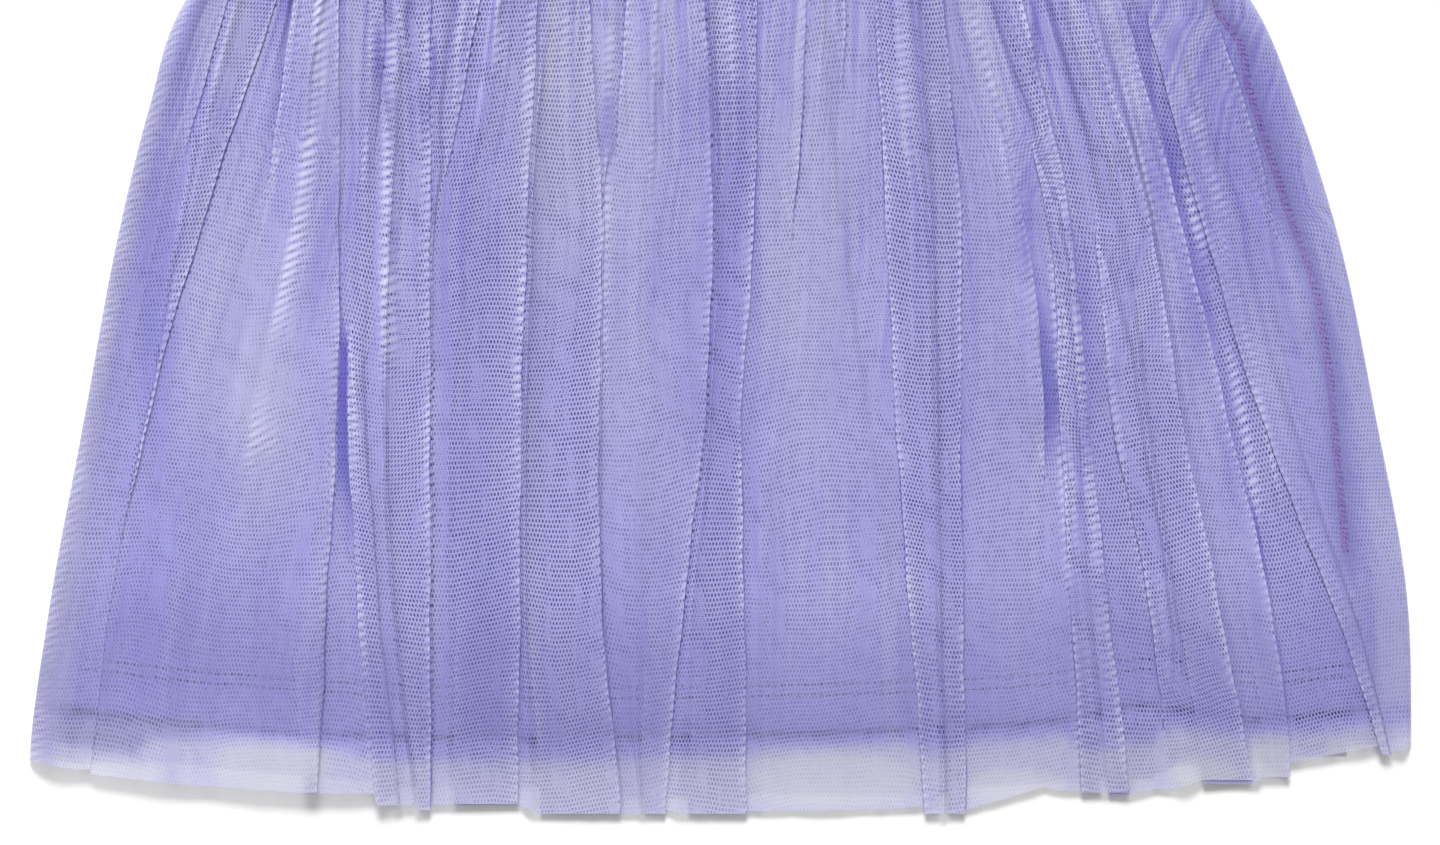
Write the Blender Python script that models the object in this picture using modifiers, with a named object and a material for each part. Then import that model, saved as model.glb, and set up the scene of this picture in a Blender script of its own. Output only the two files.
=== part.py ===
"""Girl's dress laid flat: a tulle skirt with folded-over pleats, a jersey lining skirt and a jersey bodice.

X runs to the right of the garment as it lies, Y from the hem up to the shoulders, Z up from the surface
it lies on. The origin is on that surface, under the middle of the outline. Sizes below are millimetres.
"""

import math
from collections import namedtuple

import bmesh
import bpy
import numpy as np

for old_object in list(bpy.data.objects):
    bpy.data.objects.remove(old_object, do_unlink=True)

MM = 0.001

# Lengths along the garment
DRESS_LENGTH = 632.0
SKIRT_LENGTH = 362.0
BODICE_LENGTH = DRESS_LENGTH - SKIRT_LENGTH
WAIST_Y = SKIRT_LENGTH - DRESS_LENGTH / 2
SEAM_GAP = 0.3

# Walls, from the surface up: each layer lies one seam gap above the one below
TULLE_WALL = 1.0
LINING_WALL = 1.0
BODICE_WALL = 1.2
LINING_BACK_Z = TULLE_WALL + SEAM_GAP + LINING_WALL / 2
LINING_FRONT_Z = LINING_BACK_Z + LINING_WALL + SEAM_GAP
TULLE_BASE_Z = LINING_FRONT_Z + LINING_WALL / 2 + SEAM_GAP + TULLE_WALL / 2
TULLE_SIDE_Z = TULLE_WALL + SEAM_GAP + TULLE_WALL / 2
FOLD_STEP = TULLE_WALL + SEAM_GAP
TURN_RADIUS = FOLD_STEP / 2

# Outline of the tulle skirt at each depth below the waist seam
Width = namedtuple("Width", "below_waist left right")
TULLE_OUTLINE = (
    Width(0, -142, 142),
    Width(20, -174, 173),
    Width(53, -203, 201),
    Width(94, -217, 219),
    Width(134, -227, 232),
    Width(213, -242, 249),
    Width(283, -255, 261),
    Width(342, -263, 263),
    Width(362, -264, 263),
)
TOP_OF_FOLDS = 53

# How far the lining's sides lie inside the tulle's
Inset = namedtuple("Inset", "below_waist inset")
LINING_INSET = (Inset(0, 4), Inset(53, 5), Inset(134, 5.5), Inset(213, 8), Inset(283, 13), Inset(340, 15))

# Hems: how far below the waist seam each one lies, from left to right
HemPoint = namedtuple("HemPoint", "x below_waist")
LINING_FRONT_HEM = (
    HemPoint(-250, 321),
    HemPoint(-205, 326),
    HemPoint(-133, 331),
    HemPoint(11, 331),
    HemPoint(71, 329),
    HemPoint(131, 325),
    HemPoint(160, 320),
    HemPoint(200, 325),
    HemPoint(247, 321),
)
LINING_BACK_HEM = (HemPoint(-250, 319), HemPoint(-130, 328), HemPoint(0, 329), HemPoint(130, 324), HemPoint(247, 318))
TULLE_BACK_HEM = (HemPoint(-264, 338), HemPoint(-150, 350), HemPoint(0, 356), HemPoint(150, 349), HemPoint(263, 332))

# Pleats of the front: where each visible edge runs, which way it faces (+1 to the right, -1 to the left),
# how far the cloth goes back under it, and how low the hem hangs on each side of it
STATIONS = (53, 134, 213, 283, 357)
Fold = namedtuple(
    "Fold",
    "faces first_row last_row depth_top depth_hem crown hem_before hem_after x53 x134 x213 x283 x357",
)
FOLDS = (
    Fold(+1, 2, 7, 21, 8, 0.6, 347.0, 347.5, -168, -195, -217, -229, -237),
    Fold(-1, 5, 9, 13, 11, 2.4, 354.2, 358.7, -141, -144, -141, -136, -130),
    Fold(+1, 2, 9, 13, 10, 1.0, 360.6, 359.0, -110, -110, -110, -110, -110),
    Fold(+1, 2, 9, 14, 14, 1.2, 358.3, 358.6, -69, -76, -76, -76, -77),
    Fold(+1, 2, 9, 7, 18, 1.6, 362.0, 361.8, -50, -45, -46, -45, -38),
    Fold(+1, 2, 9, 20, 7, 0.8, 362.0, 360.6, -6, -3, -6, -14, -21),
    Fold(+1, 2, 9, 10, 19, 0.8, 362.0, 361.0, 14, 13, 8, 9, 10),
    Fold(-1, 2, 9, 9, 5, 2.6, 359.3, 362.0, 59, 63, 67, 72, 78),
    Fold(+1, 2, 9, 9, 5, 0.8, 362.0, 360.5, 84, 91, 91, 92, 93),
    Fold(-1, 4, 9, 8, 16, 1.4, 353.4, 354.8, 101, 119, 129, 133, 138),
    Fold(-1, 5, 8, 9, 8, 3.0, 352.6, 353.0, 119, 136, 148, 163, 169),
    Fold(+1, 6, 9, 9, 13, 0.8, 349.2, 350.8, 137, 155, 175, 189, 203),
    Fold(+1, 4, 9, 9, 8, 0.6, 348.0, 342.5, 150, 171, 193, 209, 218),
    Fold(-1, 3, 9, 15, 1, 2.0, 336.0, 339.5, 160, 182, 206, 233, 258),
)
LEFT_CROWN = 1.6
LEFT_HEM = 342.0
RIGHT_HEM = 336.0

# Rows of the front tulle, by depth below the waist seam; the last one follows the hem
ROWS = (0, 18, 40, 58, 100, 150, 200, 250, 300, SKIRT_LENGTH)
HEM_ROW = len(ROWS) - 1
GATHERED_ROWS = {0: 0.5, 1: 1.2}
POINTS_PER_GATHER = 4
GATHER_EVENNESS = 0.65
TURN_POINTS = 4
PANE_POINTS = 4
FLAT_SPAN = 5.0
STARTING_DEPTH = 0.4
CLEARANCE = 1.4
SHORTEST_PANE = 4.0
SIDE_RUN = 3.4
MITRE_LIMIT = 1.5

# Lining and back panels
LINING_ROWS = 7
LINING_COLUMNS = 22
BACK_ROWS = 9
BACK_COLUMNS = 16

# Bodice: half widths and heights above the waist seam
WAIST_HALF = 142.0
CHEST_HALF = 146.0
UNDERARM_HEIGHT = 150.0
SHOULDER_HALF = 104.0
SHOULDER_HEIGHT = 252.0
NECK_HALF = 62.0
FRONT_NECK_DEPTH = 64.0
BACK_NECK_DEPTH = 24.0
NECK_STEPS = 5
BODICE_ROWS_BELOW_ARM = (0.0, 12.0, 28.0, 50.0, 100.0, 150.0)
BODICE_COLUMNS = 7
BODICE_FRONT_Z = BODICE_WALL + SEAM_GAP + BODICE_WALL / 2
BODICE_WAIST_Z = 4.2
WAIST_RISE_LENGTH = 46.0

# Colours as sRGB bytes
TULLE_COLOUR = (176, 176, 226)
LINING_COLOUR = (148, 152, 222)
BODICE_COLOUR = (156, 158, 222)
CLOTH_ROUGHNESS = 0.85


def smooth_step(value):
    value = min(max(value, 0.0), 1.0)
    return value * value * (3 - 2 * value)


def curve_through(places, values, place):
    """Value at a place on the smooth curve through the given ones (a cubic with averaged slopes)."""
    places = np.asarray(places, dtype=float)
    values = np.asarray(values, dtype=float)
    slopes = np.gradient(values, places)
    place = min(max(place, places[0]), places[-1])
    i = min(int(np.searchsorted(places, place, side="right")) - 1, len(places) - 2)
    span = places[i + 1] - places[i]
    t = (place - places[i]) / span
    rise = values[i + 1] - values[i]
    bend_a = slopes[i] * span - rise
    bend_b = rise - slopes[i + 1] * span
    return values[i] + rise * t + t * (1 - t) * (bend_a * (1 - t) + bend_b * t)


def outline_at(below_waist):
    places = [row.below_waist for row in TULLE_OUTLINE]
    left = curve_through(places, [row.left for row in TULLE_OUTLINE], below_waist)
    right = curve_through(places, [row.right for row in TULLE_OUTLINE], below_waist)
    return left, right


def lining_outline_at(below_waist):
    inset = curve_through([row.below_waist for row in LINING_INSET], [row.inset for row in LINING_INSET], below_waist)
    left, right = outline_at(below_waist)
    return left + inset, right - inset


def hem_at(hem, x):
    return curve_through([point.x for point in hem], [point.below_waist for point in hem], x)


def fold_edge_at(fold, below_waist):
    """X of a fold's visible edge; above the top of the folds it closes in with the gathered waist."""
    values = (fold.x53, fold.x134, fold.x213, fold.x283, fold.x357)
    x = curve_through(STATIONS, values, below_waist)
    if below_waist < TOP_OF_FOLDS:
        left, right = outline_at(below_waist)
        top_left, top_right = outline_at(TOP_OF_FOLDS)
        x *= (right - left) / (top_right - top_left)
    return x


class Lap:
    """A fold at one row: its layers lie between x = near and x = far, with the turns at both."""

    def __init__(self, fold, row, below_waist):
        edge = fold_edge_at(fold, below_waist)
        self.fold = fold
        self.open = row < fold.first_row or row > fold.last_row
        self.starting = row == fold.first_row or (row == fold.last_row and row != HEM_ROW)
        share = (below_waist - STATIONS[0]) / (STATIONS[-1] - STATIONS[0])
        share = min(max(share, 0.0), 1.0)
        depth = fold.depth_top + (fold.depth_hem - fold.depth_top) * share
        if self.starting:
            depth = STARTING_DEPTH
        if self.open:
            self.near = edge - FLAT_SPAN / 2
            self.far = edge + FLAT_SPAN / 2
        elif fold.faces > 0:
            self.near = edge - depth
            self.far = edge
        else:
            self.near = edge
            self.far = edge + depth
        top = TULLE_BASE_Z + 2 * FOLD_STEP
        low_before = self.open or fold.faces < 0
        low_after = self.open or fold.faces > 0
        self.z_before = TULLE_BASE_Z if low_before else top
        self.z_after = TULLE_BASE_Z if low_after else top

    def points(self):
        """The fold's own points: (x, z, share of the way across), turning at far and then at near."""
        count = 2 * TURN_POINTS
        if self.open:
            step = (self.far - self.near) / (count - 1)
            return [(self.near + step * i, TULLE_BASE_Z, i / (count - 1)) for i in range(count)]
        middle = TULLE_BASE_Z + FOLD_STEP
        result = []
        for i in range(TURN_POINTS):
            angle = math.pi * i / (TURN_POINTS - 1)
            drop = (1 - math.cos(angle)) / 2
            z = self.z_before + (middle - self.z_before) * drop
            result.append((self.far + TURN_RADIUS * math.sin(angle), z, 0.0))
        for i in range(TURN_POINTS):
            angle = math.pi * i / (TURN_POINTS - 1)
            drop = (1 - math.cos(angle)) / 2
            z = middle + (self.z_after - middle) * drop
            result.append((self.near - TURN_RADIUS * math.sin(angle), z, 1.0))
        return result


def pane_points(start, end, crown):
    """Points of a pane between two folds, from (x, z) to (x, z), crowned in the middle."""
    result = []
    for i in range(PANE_POINTS):
        share = i / (PANE_POINTS - 1)
        x = start[0] + (end[0] - start[0]) * share
        z = start[1] + (end[1] - start[1]) * smooth_step(share) + crown * math.sin(math.pi * share)
        result.append((x, z))
    return result


def narrow_laps(laps, left, right):
    """Shortens folds that would come closer to their neighbour than the shortest pane."""
    for before, after in zip(laps, laps[1:]):
        lack = SHORTEST_PANE - (after.near - before.far)
        if lack <= 0:
            continue
        if after.fold.faces > 0 and not after.open:
            after.near += min(lack, after.far - after.near)
        elif before.fold.faces < 0 and not before.open:
            before.far -= min(lack, before.far - before.near)
    last = laps[-1]
    lack = SHORTEST_PANE - (right - SIDE_RUN - last.far)
    if lack > 0 and last.fold.faces < 0:
        last.far -= min(lack, last.far - last.near)


def tulle_front_row(row):
    """One row of the front tulle's middle surface, as (x, y, z) points from left to right."""
    below_waist = ROWS[row]
    is_hem = row == HEM_ROW
    left, right = outline_at(min(below_waist, LEFT_HEM) if is_hem else below_waist)
    laps = []
    for fold in FOLDS:
        depth = (fold.hem_before + fold.hem_after) / 2 if is_hem else below_waist
        laps.append(Lap(fold, row, depth))
    narrow_laps(laps, left, right)
    fullness = smooth_step(below_waist / TOP_OF_FOLDS)
    points = [(left, TULLE_SIDE_Z, LEFT_HEM)]
    start = (left + SIDE_RUN, TULLE_BASE_Z)
    start_hem = LEFT_HEM
    crown = LEFT_CROWN
    for lap in laps:
        fold = lap.fold
        end = (lap.near - CLEARANCE, lap.z_before)
        pane = pane_points(start, end, crown * fullness)
        for i, (x, z) in enumerate(pane):
            hem = start_hem + (fold.hem_before - start_hem) * i / (PANE_POINTS - 1)
            points.append((x, z, hem))
        for x, z, share in lap.points():
            points.append((x, z, fold.hem_before + (fold.hem_after - fold.hem_before) * share))
        start = (lap.far + CLEARANCE, lap.z_after)
        start_hem = fold.hem_after
        crown = fold.crown
    pane = pane_points(start, (right - SIDE_RUN, TULLE_BASE_Z), crown * fullness)
    for i, (x, z) in enumerate(pane):
        points.append((x, z, start_hem + (RIGHT_HEM - start_hem) * i / (PANE_POINTS - 1)))
    points.append((right, TULLE_SIDE_Z, RIGHT_HEM))
    if row in GATHERED_ROWS:
        points = gather(points, left, right, GATHERED_ROWS[row])
    return [(x, WAIST_Y - (hem if is_hem else max(below_waist, SEAM_GAP)), z) for x, z, hem in points]


def gather(points, left, right, height):
    """Spreads a row's points more evenly and lifts them into small upright gathers."""
    last = len(points) - 1
    result = [points[0]]
    for i in range(1, last):
        even_x = left + (right - left) * i / last
        x = points[i][0] + (even_x - points[i][0]) * GATHER_EVENNESS
        wave = 1 + math.sin(2 * math.pi * i / POINTS_PER_GATHER)
        edge_z = TULLE_SIDE_Z + (TULLE_BASE_Z - TULLE_SIDE_Z) * smooth_step(min(x - left, right - x) / SIDE_RUN)
        result.append((x, edge_z + height * wave, points[i][2]))
    result.append(points[last])
    return result


def panel_rows(outline, hem, row_count, column_count, z):
    """Rows of a flat skirt panel between its sides, from the waist seam down to its own hem."""
    rows = []
    for i in range(row_count):
        share = i / (row_count - 1)
        row = []
        for j in range(column_count):
            across = j / (column_count - 1)
            side_hem = hem[0].below_waist + (hem[-1].below_waist - hem[0].below_waist) * across
            left, right = outline(side_hem * share)
            x = left + (right - left) * across
            depth = max(hem_at(hem, x) * share, SEAM_GAP)
            row.append((x, WAIST_Y - depth, z))
        rows.append(row)
    return rows


def bodice_half_rows(neck_depth, height_of):
    """Rows of half a bodice panel, from the middle or the neck edge out to the side or the armhole."""
    pairs = [((0.0, y), (side_half_at(y), y)) for y in BODICE_ROWS_BELOW_ARM]
    neck_bottom = BODICE_LENGTH - neck_depth
    chest_rows = 3
    arm_rows = chest_rows + NECK_STEPS
    for i in range(1, arm_rows + 1):
        angle = math.pi / 2 * i / arm_rows
        outer_x = SHOULDER_HALF + (CHEST_HALF - SHOULDER_HALF) * (1 - math.sin(angle))
        outer_y = UNDERARM_HEIGHT + (SHOULDER_HEIGHT - UNDERARM_HEIGHT) * (1 - math.cos(angle))
        if i <= chest_rows:
            inner = (0.0, UNDERARM_HEIGHT + (neck_bottom - UNDERARM_HEIGHT) * i / chest_rows)
        else:
            turn = math.pi / 2 * (i - chest_rows) / NECK_STEPS
            inner = (NECK_HALF * math.sin(turn), BODICE_LENGTH - neck_depth * math.cos(turn))
        pairs.append((inner, (outer_x, outer_y)))
    rows = []
    for inner, outer in pairs:
        row = []
        for j in range(BODICE_COLUMNS):
            across = j / (BODICE_COLUMNS - 1)
            x = inner[0] + (outer[0] - inner[0]) * across
            y = inner[1] + (outer[1] - inner[1]) * across
            row.append((x, WAIST_Y + y, height_of(y)))
        rows.append(row)
    return rows


def side_half_at(y):
    return curve_through((0, 50, 100, UNDERARM_HEIGHT), (WAIST_HALF, 140, 142, CHEST_HALF), y)


def bodice_front_height(y):
    return BODICE_WAIST_Z + (BODICE_FRONT_Z - BODICE_WAIST_Z) * smooth_step(y / WAIST_RISE_LENGTH)


def linear_colour(colour):
    channels = []
    for byte in colour:
        value = byte / 255
        channels.append(value / 12.92 if value <= 0.04045 else ((value + 0.055) / 1.055) ** 2.4)
    return (*channels, 1.0)


def cloth_material(name, colour):
    material = bpy.data.materials.new(name)
    material.use_nodes = True
    shader = material.node_tree.nodes["Principled BSDF"]
    shader.inputs["Base Color"].default_value = linear_colour(colour)
    shader.inputs["Roughness"].default_value = CLOTH_ROUGHNESS
    shader.inputs["Metallic"].default_value = 0.0
    return material


def wall_ring(row, wall):
    """A row of the middle surface as a closed ring in its own upright plane: over the cloth, then under it."""
    over = []
    under = []
    for i, (x, y, z) in enumerate(row):
        before = row[max(i - 1, 0)]
        after = row[min(i + 1, len(row) - 1)]
        into = unit(x - before[0], z - before[2]) if i > 0 else unit(after[0] - x, after[2] - z)
        out = unit(after[0] - x, after[2] - z) if i < len(row) - 1 else into
        normal = unit(-into[1] - out[1], into[0] + out[0])
        half_turn = max(normal[0] * -into[1] + normal[1] * into[0], 1 / MITRE_LIMIT)
        reach = wall / 2 / half_turn
        over.append((x + normal[0] * reach, y, z + normal[1] * reach))
        under.append((x - normal[0] * reach, y, z - normal[1] * reach))
    return over, under


def unit(a, b):
    length = math.hypot(a, b)
    return a / length, b / length


def folded_panel(name, rows, wall, colour):
    """A pleated cloth piece: a closed loft through the rings of its rows."""
    shape = bmesh.new()
    rings = []
    for row in rows:
        over, under = wall_ring(row, wall)
        ring = over + under[::-1]
        rings.append([shape.verts.new((x * MM, y * MM, z * MM)) for x, y, z in ring])
    size = len(rings[0])
    for upper, lower in zip(rings, rings[1:]):
        for j in range(size):
            k = (j + 1) % size
            shape.faces.new((upper[j], lower[j], lower[k], upper[k]))
    for ring, flip in ((rings[0], False), (rings[-1], True)):
        for j in range(size // 2 - 1):
            face = (ring[j], ring[j + 1], ring[size - 2 - j], ring[size - 1 - j])
            shape.faces.new(face[::-1] if flip else face)
    return finish_panel(name, shape, colour)


def finish_panel(name, shape, colour):
    mesh = bpy.data.meshes.new(name)
    shape.to_mesh(mesh)
    shape.free()
    mesh.shade_smooth()
    mesh.set_sharp_from_angle(angle=math.radians(40))
    mesh.materials.append(cloth_material(name, colour))
    panel = bpy.data.objects.new(name, mesh)
    garment.objects.link(panel)
    return panel


def cloth_panel(name, rows, wall, offset, colour, mirrored=False):
    """A cloth piece: the loft through its rows, faces up, thickened to its wall."""
    shape = bmesh.new()
    grid = [[shape.verts.new((x * MM, y * MM, z * MM)) for x, y, z in row] for row in rows]
    for upper, lower in zip(grid, grid[1:]):
        for j in range(len(upper) - 1):
            shape.faces.new((upper[j], lower[j], lower[j + 1], upper[j + 1]))
    bmesh.ops.recalc_face_normals(shape, faces=shape.faces)
    shape.faces.ensure_lookup_table()
    if shape.faces[0].normal.z < 0:
        bmesh.ops.reverse_faces(shape, faces=shape.faces)
    panel = finish_panel(name, shape, colour)
    if mirrored:
        mirror = panel.modifiers.new("other half", "MIRROR")
        mirror.use_clip = True
        mirror.merge_threshold = 0.00001
    thickness = panel.modifiers.new("wall", "SOLIDIFY")
    thickness.thickness = wall * MM
    thickness.offset = offset
    thickness.use_even_offset = True
    thickness.use_quality_normals = True
    return panel


garment = bpy.data.collections.new("tulle_dress")
bpy.context.scene.collection.children.link(garment)

cloth_panel(
    "tulle_back",
    panel_rows(outline_at, TULLE_BACK_HEM, BACK_ROWS, BACK_COLUMNS, 0.0),
    TULLE_WALL, 1.0, TULLE_COLOUR,
)
cloth_panel(
    "lining_back",
    panel_rows(lining_outline_at, LINING_BACK_HEM, LINING_ROWS, LINING_COLUMNS, LINING_BACK_Z),
    LINING_WALL, 0.0, LINING_COLOUR,
)
cloth_panel(
    "lining_front",
    panel_rows(lining_outline_at, LINING_FRONT_HEM, LINING_ROWS, LINING_COLUMNS, LINING_FRONT_Z),
    LINING_WALL, 0.0, LINING_COLOUR,
)
folded_panel("tulle_front", [tulle_front_row(row) for row in range(len(ROWS))], TULLE_WALL, TULLE_COLOUR)
cloth_panel(
    "bodice_back",
    bodice_half_rows(BACK_NECK_DEPTH, lambda y: 0.0),
    BODICE_WALL, 1.0, BODICE_COLOUR, mirrored=True,
)
cloth_panel(
    "bodice_front",
    bodice_half_rows(FRONT_NECK_DEPTH, bodice_front_height),
    BODICE_WALL, 0.0, BODICE_COLOUR, mirrored=True,
)
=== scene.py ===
"""Looks of a girl's dress laid flat: pleated net skirt, jersey lining skirt and jersey bodice, from above.

Tables are in millimetres: X to the right, Y up towards the shoulders, Z off the surface.
"""

import math
from collections import namedtuple

import bmesh
import bpy
import numpy as np
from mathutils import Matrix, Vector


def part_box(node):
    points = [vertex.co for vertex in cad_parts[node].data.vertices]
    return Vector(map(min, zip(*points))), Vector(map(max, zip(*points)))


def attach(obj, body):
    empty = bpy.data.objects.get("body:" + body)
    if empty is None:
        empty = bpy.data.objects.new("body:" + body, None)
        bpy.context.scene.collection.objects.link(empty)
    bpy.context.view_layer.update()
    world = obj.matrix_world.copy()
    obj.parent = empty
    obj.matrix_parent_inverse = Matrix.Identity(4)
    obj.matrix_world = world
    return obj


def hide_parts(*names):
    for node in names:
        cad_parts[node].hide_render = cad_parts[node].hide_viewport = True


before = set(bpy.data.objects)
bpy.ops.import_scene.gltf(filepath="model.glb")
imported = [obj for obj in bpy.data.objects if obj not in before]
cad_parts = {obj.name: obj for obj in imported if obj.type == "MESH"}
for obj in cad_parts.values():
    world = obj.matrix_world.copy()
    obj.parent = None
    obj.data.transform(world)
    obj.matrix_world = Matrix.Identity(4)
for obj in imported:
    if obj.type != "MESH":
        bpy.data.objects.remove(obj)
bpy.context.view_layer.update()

MM = 0.001

# The photograph's frame in pixels, the size of one, and how far below the waist seam its top edge lies
PHOTO_WIDTH = 1440
PHOTO_HEIGHT = 845
PIXEL = 0.38
PHOTO_TOP_BELOW_WAIST = 53.0
CAMERA_HEIGHT = 2000.0
SENSOR = 36.0

# Places taken from the frame. The thin cloths lie inside the walls of the solids that they replace
WAIST_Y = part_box("bodice_back")[0].y / MM
NECK_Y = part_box("bodice_front")[1].y / MM
BODICE_LENGTH = NECK_Y - WAIST_Y
SKIRT_LENGTH = WAIST_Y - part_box("tulle_front")[0].y / MM
LINING_BACK_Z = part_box("lining_back")[0].z / MM + 0.45
LINING_FRONT_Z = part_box("lining_front")[0].z / MM + 0.55
TULLE_BASE_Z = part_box("lining_front")[1].z / MM + 0.7
SIDE_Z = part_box("tulle_back")[1].z / MM + 0.1
LAYER_STEP = 0.46
BACK_BASE_Z = 0.25
BACK_STEP = 0.3

# Share of the net's flat rectangle that is cloth
NET_AREA_SHARE = 0.92

# Outline of the net skirt by depth below the waist seam, and how far inside it the lining's sides run
OUTLINE = (
    (0, -142, 142, 3),
    (20, -174, 173, 4),
    (53, -203, 201, 5),
    (94, -217, 219, 5),
    (134, -227, 232, 5.5),
    (213, -242, 249, 8),
    (283, -255, 261, 13),
    (342, -262.5, 262.5, 15),
    (362, -263, 262.5, 16),
)
OUTLINE_DEPTHS, LEFT_EDGE, RIGHT_EDGE, LINING_INSET = zip(*OUTLINE)
TOP_OF_FOLDS = 53

# Hems of the lining, as (x, below the waist seam)
LINING_FRONT_HEM = (
    (-250, 321), (-205, 326), (-133, 331), (11, 331), (71, 329), (131, 325), (160, 320), (200, 325),
    (247, 321),
)
LINING_BACK_HEM = ((-250, 319), (-130, 328), (0, 329), (130, 324), (247, 318))

# Pleats: which way each faces, where it starts, over what length it grows, where it ends, the crown of the
# pane after it, the hem's depth on each side, and at each station its edge and how far the cloth goes back
STATIONS = (53, 134, 213, 283, 357)
Fold = namedtuple("Fold", "faces starts grow ends crown hem_before hem_after edges depths")
FRONT_FOLDS = [Fold(*row) for row in (
    (+1, 14, 30, 80, 0.2, 345.0, 345.0, (-187, -207, -222, -234, -243), (7, 6, 3, 3, 3)),
    (+1, 14, 30, 225, 0.3, 347.0, 347.5, (-168, -195, -217, -229, -237), (11, 8, 10, 6, 3)),
    (-1, 14, 30, 96, 0.2, 351.0, 351.0, (-161, -174, -190, -196, -200), (4, 5, 3, 3, 3)),
    (+1, 14, 60, 900, 0.2, 354.0, 354.2, (-144.5, -144.5, -145.4, -149.3, -152.5), (7, 13, 30, 15, 4)),
    (-1, 166, 60, 900, 0.6, 354.2, 358.7, (-136.5, -140.2, -140.6, -137, -130), (3, 3, 6, 7, 8)),
    (+1, 14, 30, 64, 1.2, 358.7, 358.7, (-127, -129, -131, -127.5, -119.5), (6, 2, 1, 1, 1)),
    (+1, 14, 30, 900, 1.0, 360.6, 359.0, (-110, -110, -110, -110, -110), (6, 13, 15, 12, 6)),
    (+1, 14, 30, 92, 0.2, 358.6, 358.6, (-91, -104.5, -106, -106, -106), (8, 4, 1, 1, 1)),
    (+1, 14, 30, 900, 1.0, 358.3, 358.6, (-69, -73, -75.5, -76, -77), (12, 20, 24, 24, 24)),
    (+1, 14, 30, 900, 1.4, 362.0, 361.8, (-50, -45, -46, -45, -38), (13, 25, 26, 27, 30)),
    (-1, 14, 30, 84, 0.8, 362.0, 362.0, (-35, -41.5, -42, -41, -34), (8, 4, 1, 1, 1)),
    (+1, 14, 30, 900, 0.6, 362.0, 360.6, (-6, -3, -6, -14, -21), (13, 20, 17, 13, 9)),
    (+1, 14, 30, 900, 0.3, 362.0, 361.0, (14, 13, 8, 9, 10), (14, 12, 10, 17, 22)),
    (+1, 14, 30, 112, 0.4, 361.0, 361.0, (33, 29, 27, 27, 27), (12, 7, 3, 3, 3)),
    (+1, 14, 30, 56, 0.2, 360.5, 360.5, (47, 49, 50, 52, 56), (5, 3, 1, 1, 1)),
    (-1, 14, 30, 900, 1.6, 359.3, 362.0, (59, 63, 67, 72, 78), (12, 14, 13, 9, 5)),
    (+1, 14, 30, 900, 0.3, 362.0, 360.5, (84, 91, 91, 92, 93), (8, 9, 7, 7, 6)),
    (+1, 88, 30, 206, 0.2, 352.0, 353.0, (92, 114.6, 123, 124, 126), (6, 8, 5, 5, 5)),
    (-1, 96, 24, 900, 0.4, 353.4, 354.0, (99, 124.0, 129, 133, 138), (4, 3, 3, 5, 7)),
    (+1, 14, 30, 900, 0.3, 354.0, 354.8, (114, 132, 139.5, 147, 155.5), (7, 3, 3, 6, 7)),
    (-1, 130, 50, 300, 2.0, 352.6, 353.0, (121, 141, 149, 163, 169), (8, 8, 9, 6, 3)),
    (+1, 14, 40, 900, 0.8, 349.2, 350.8, (137, 162, 175, 189, 203), (7, 9, 11, 15, 18)),
    (+1, 40, 60, 900, 0.4, 348.0, 342.5, (152, 174, 193, 209, 218), (8, 7, 10, 11, 9)),
    (-1, 46, 60, 900, 1.2, 336.0, 339.5, (160, 182, 206, 233, 258), (13, 12, 9, 5, 2)),
    (+1, 14, 30, 112, 0.3, 338.0, 338.0, (186, 210, 224, 245, 260.5), (6, 7, 3, 2, 0.5)),
)]
BACK_FOLDS = [Fold(*row) for row in (
    (-1, 20, 30, 900, 0, 340.0, 341.0, (-196, -221, -236, -248, -256), (5, 6, 7, 7, 7)),
    (+1, 20, 30, 900, 0, 342.0, 342.0, (-176, -196, -207, -214, -219), (14, 18, 24, 28, 30)),
    (-1, 20, 30, 900, 0, 350.0, 351.0, (-112, -120, -125, -128, -130), (14, 18, 21, 24, 26)),
    (+1, 20, 30, 900, 0, 352.0, 351.0, (-56, -64, -68, -71, -72), (22, 24, 26, 26, 26)),
    (-1, 20, 30, 900, 0, 354.0, 355.0, (-44, -52, -58, -60, -62), (14, 18, 20, 22, 22)),
    (+1, 20, 30, 900, 0, 355.0, 354.0, (6, 6, 6, 6, 6), (16, 20, 25, 28, 30)),
    (+1, 20, 30, 900, 0, 354.0, 352.0, (80, 85, 89, 91, 93), (14, 14, 15, 15, 15)),
    (+1, 20, 30, 900, 0, 348.0, 347.0, (134, 150, 158, 163, 165), (16, 20, 24, 26, 26)),
    (+1, 20, 30, 900, 0, 343.0, 342.0, (158, 178, 190, 196, 200), (12, 18, 22, 25, 26)),
    (-1, 20, 30, 900, 0, 340.0, 336.0, (170, 190, 204, 212, 218), (12, 15, 18, 20, 22)),
    (+1, 20, 30, 900, 0, 335.0, 334.0, (196, 223, 240, 249, 256), (5, 6, 7, 8, 9)),
)]

# For each skirt: the hem's depth at its left and right side, and the crown of its first pane. For the back
# also the length of its cut and the height of its gathers
FRONT_SIDES = (342.0, 336.0, 1.2)
BACK_SIDES = (338.0, 332.0, 0.0)
BACK_LENGTH = 356.0
BACK_GATHERS = 0.3

# Panes where the net lies more open, and how softly they and the folds start and end
STRIP_PANES = (1, 5, 6, 7, 8, 9, 12, 16, 19, 20, 21, 23)
STRIP_BLUR = np.hanning(11)
FOLD_BLUR = np.hanning(7)

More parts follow.
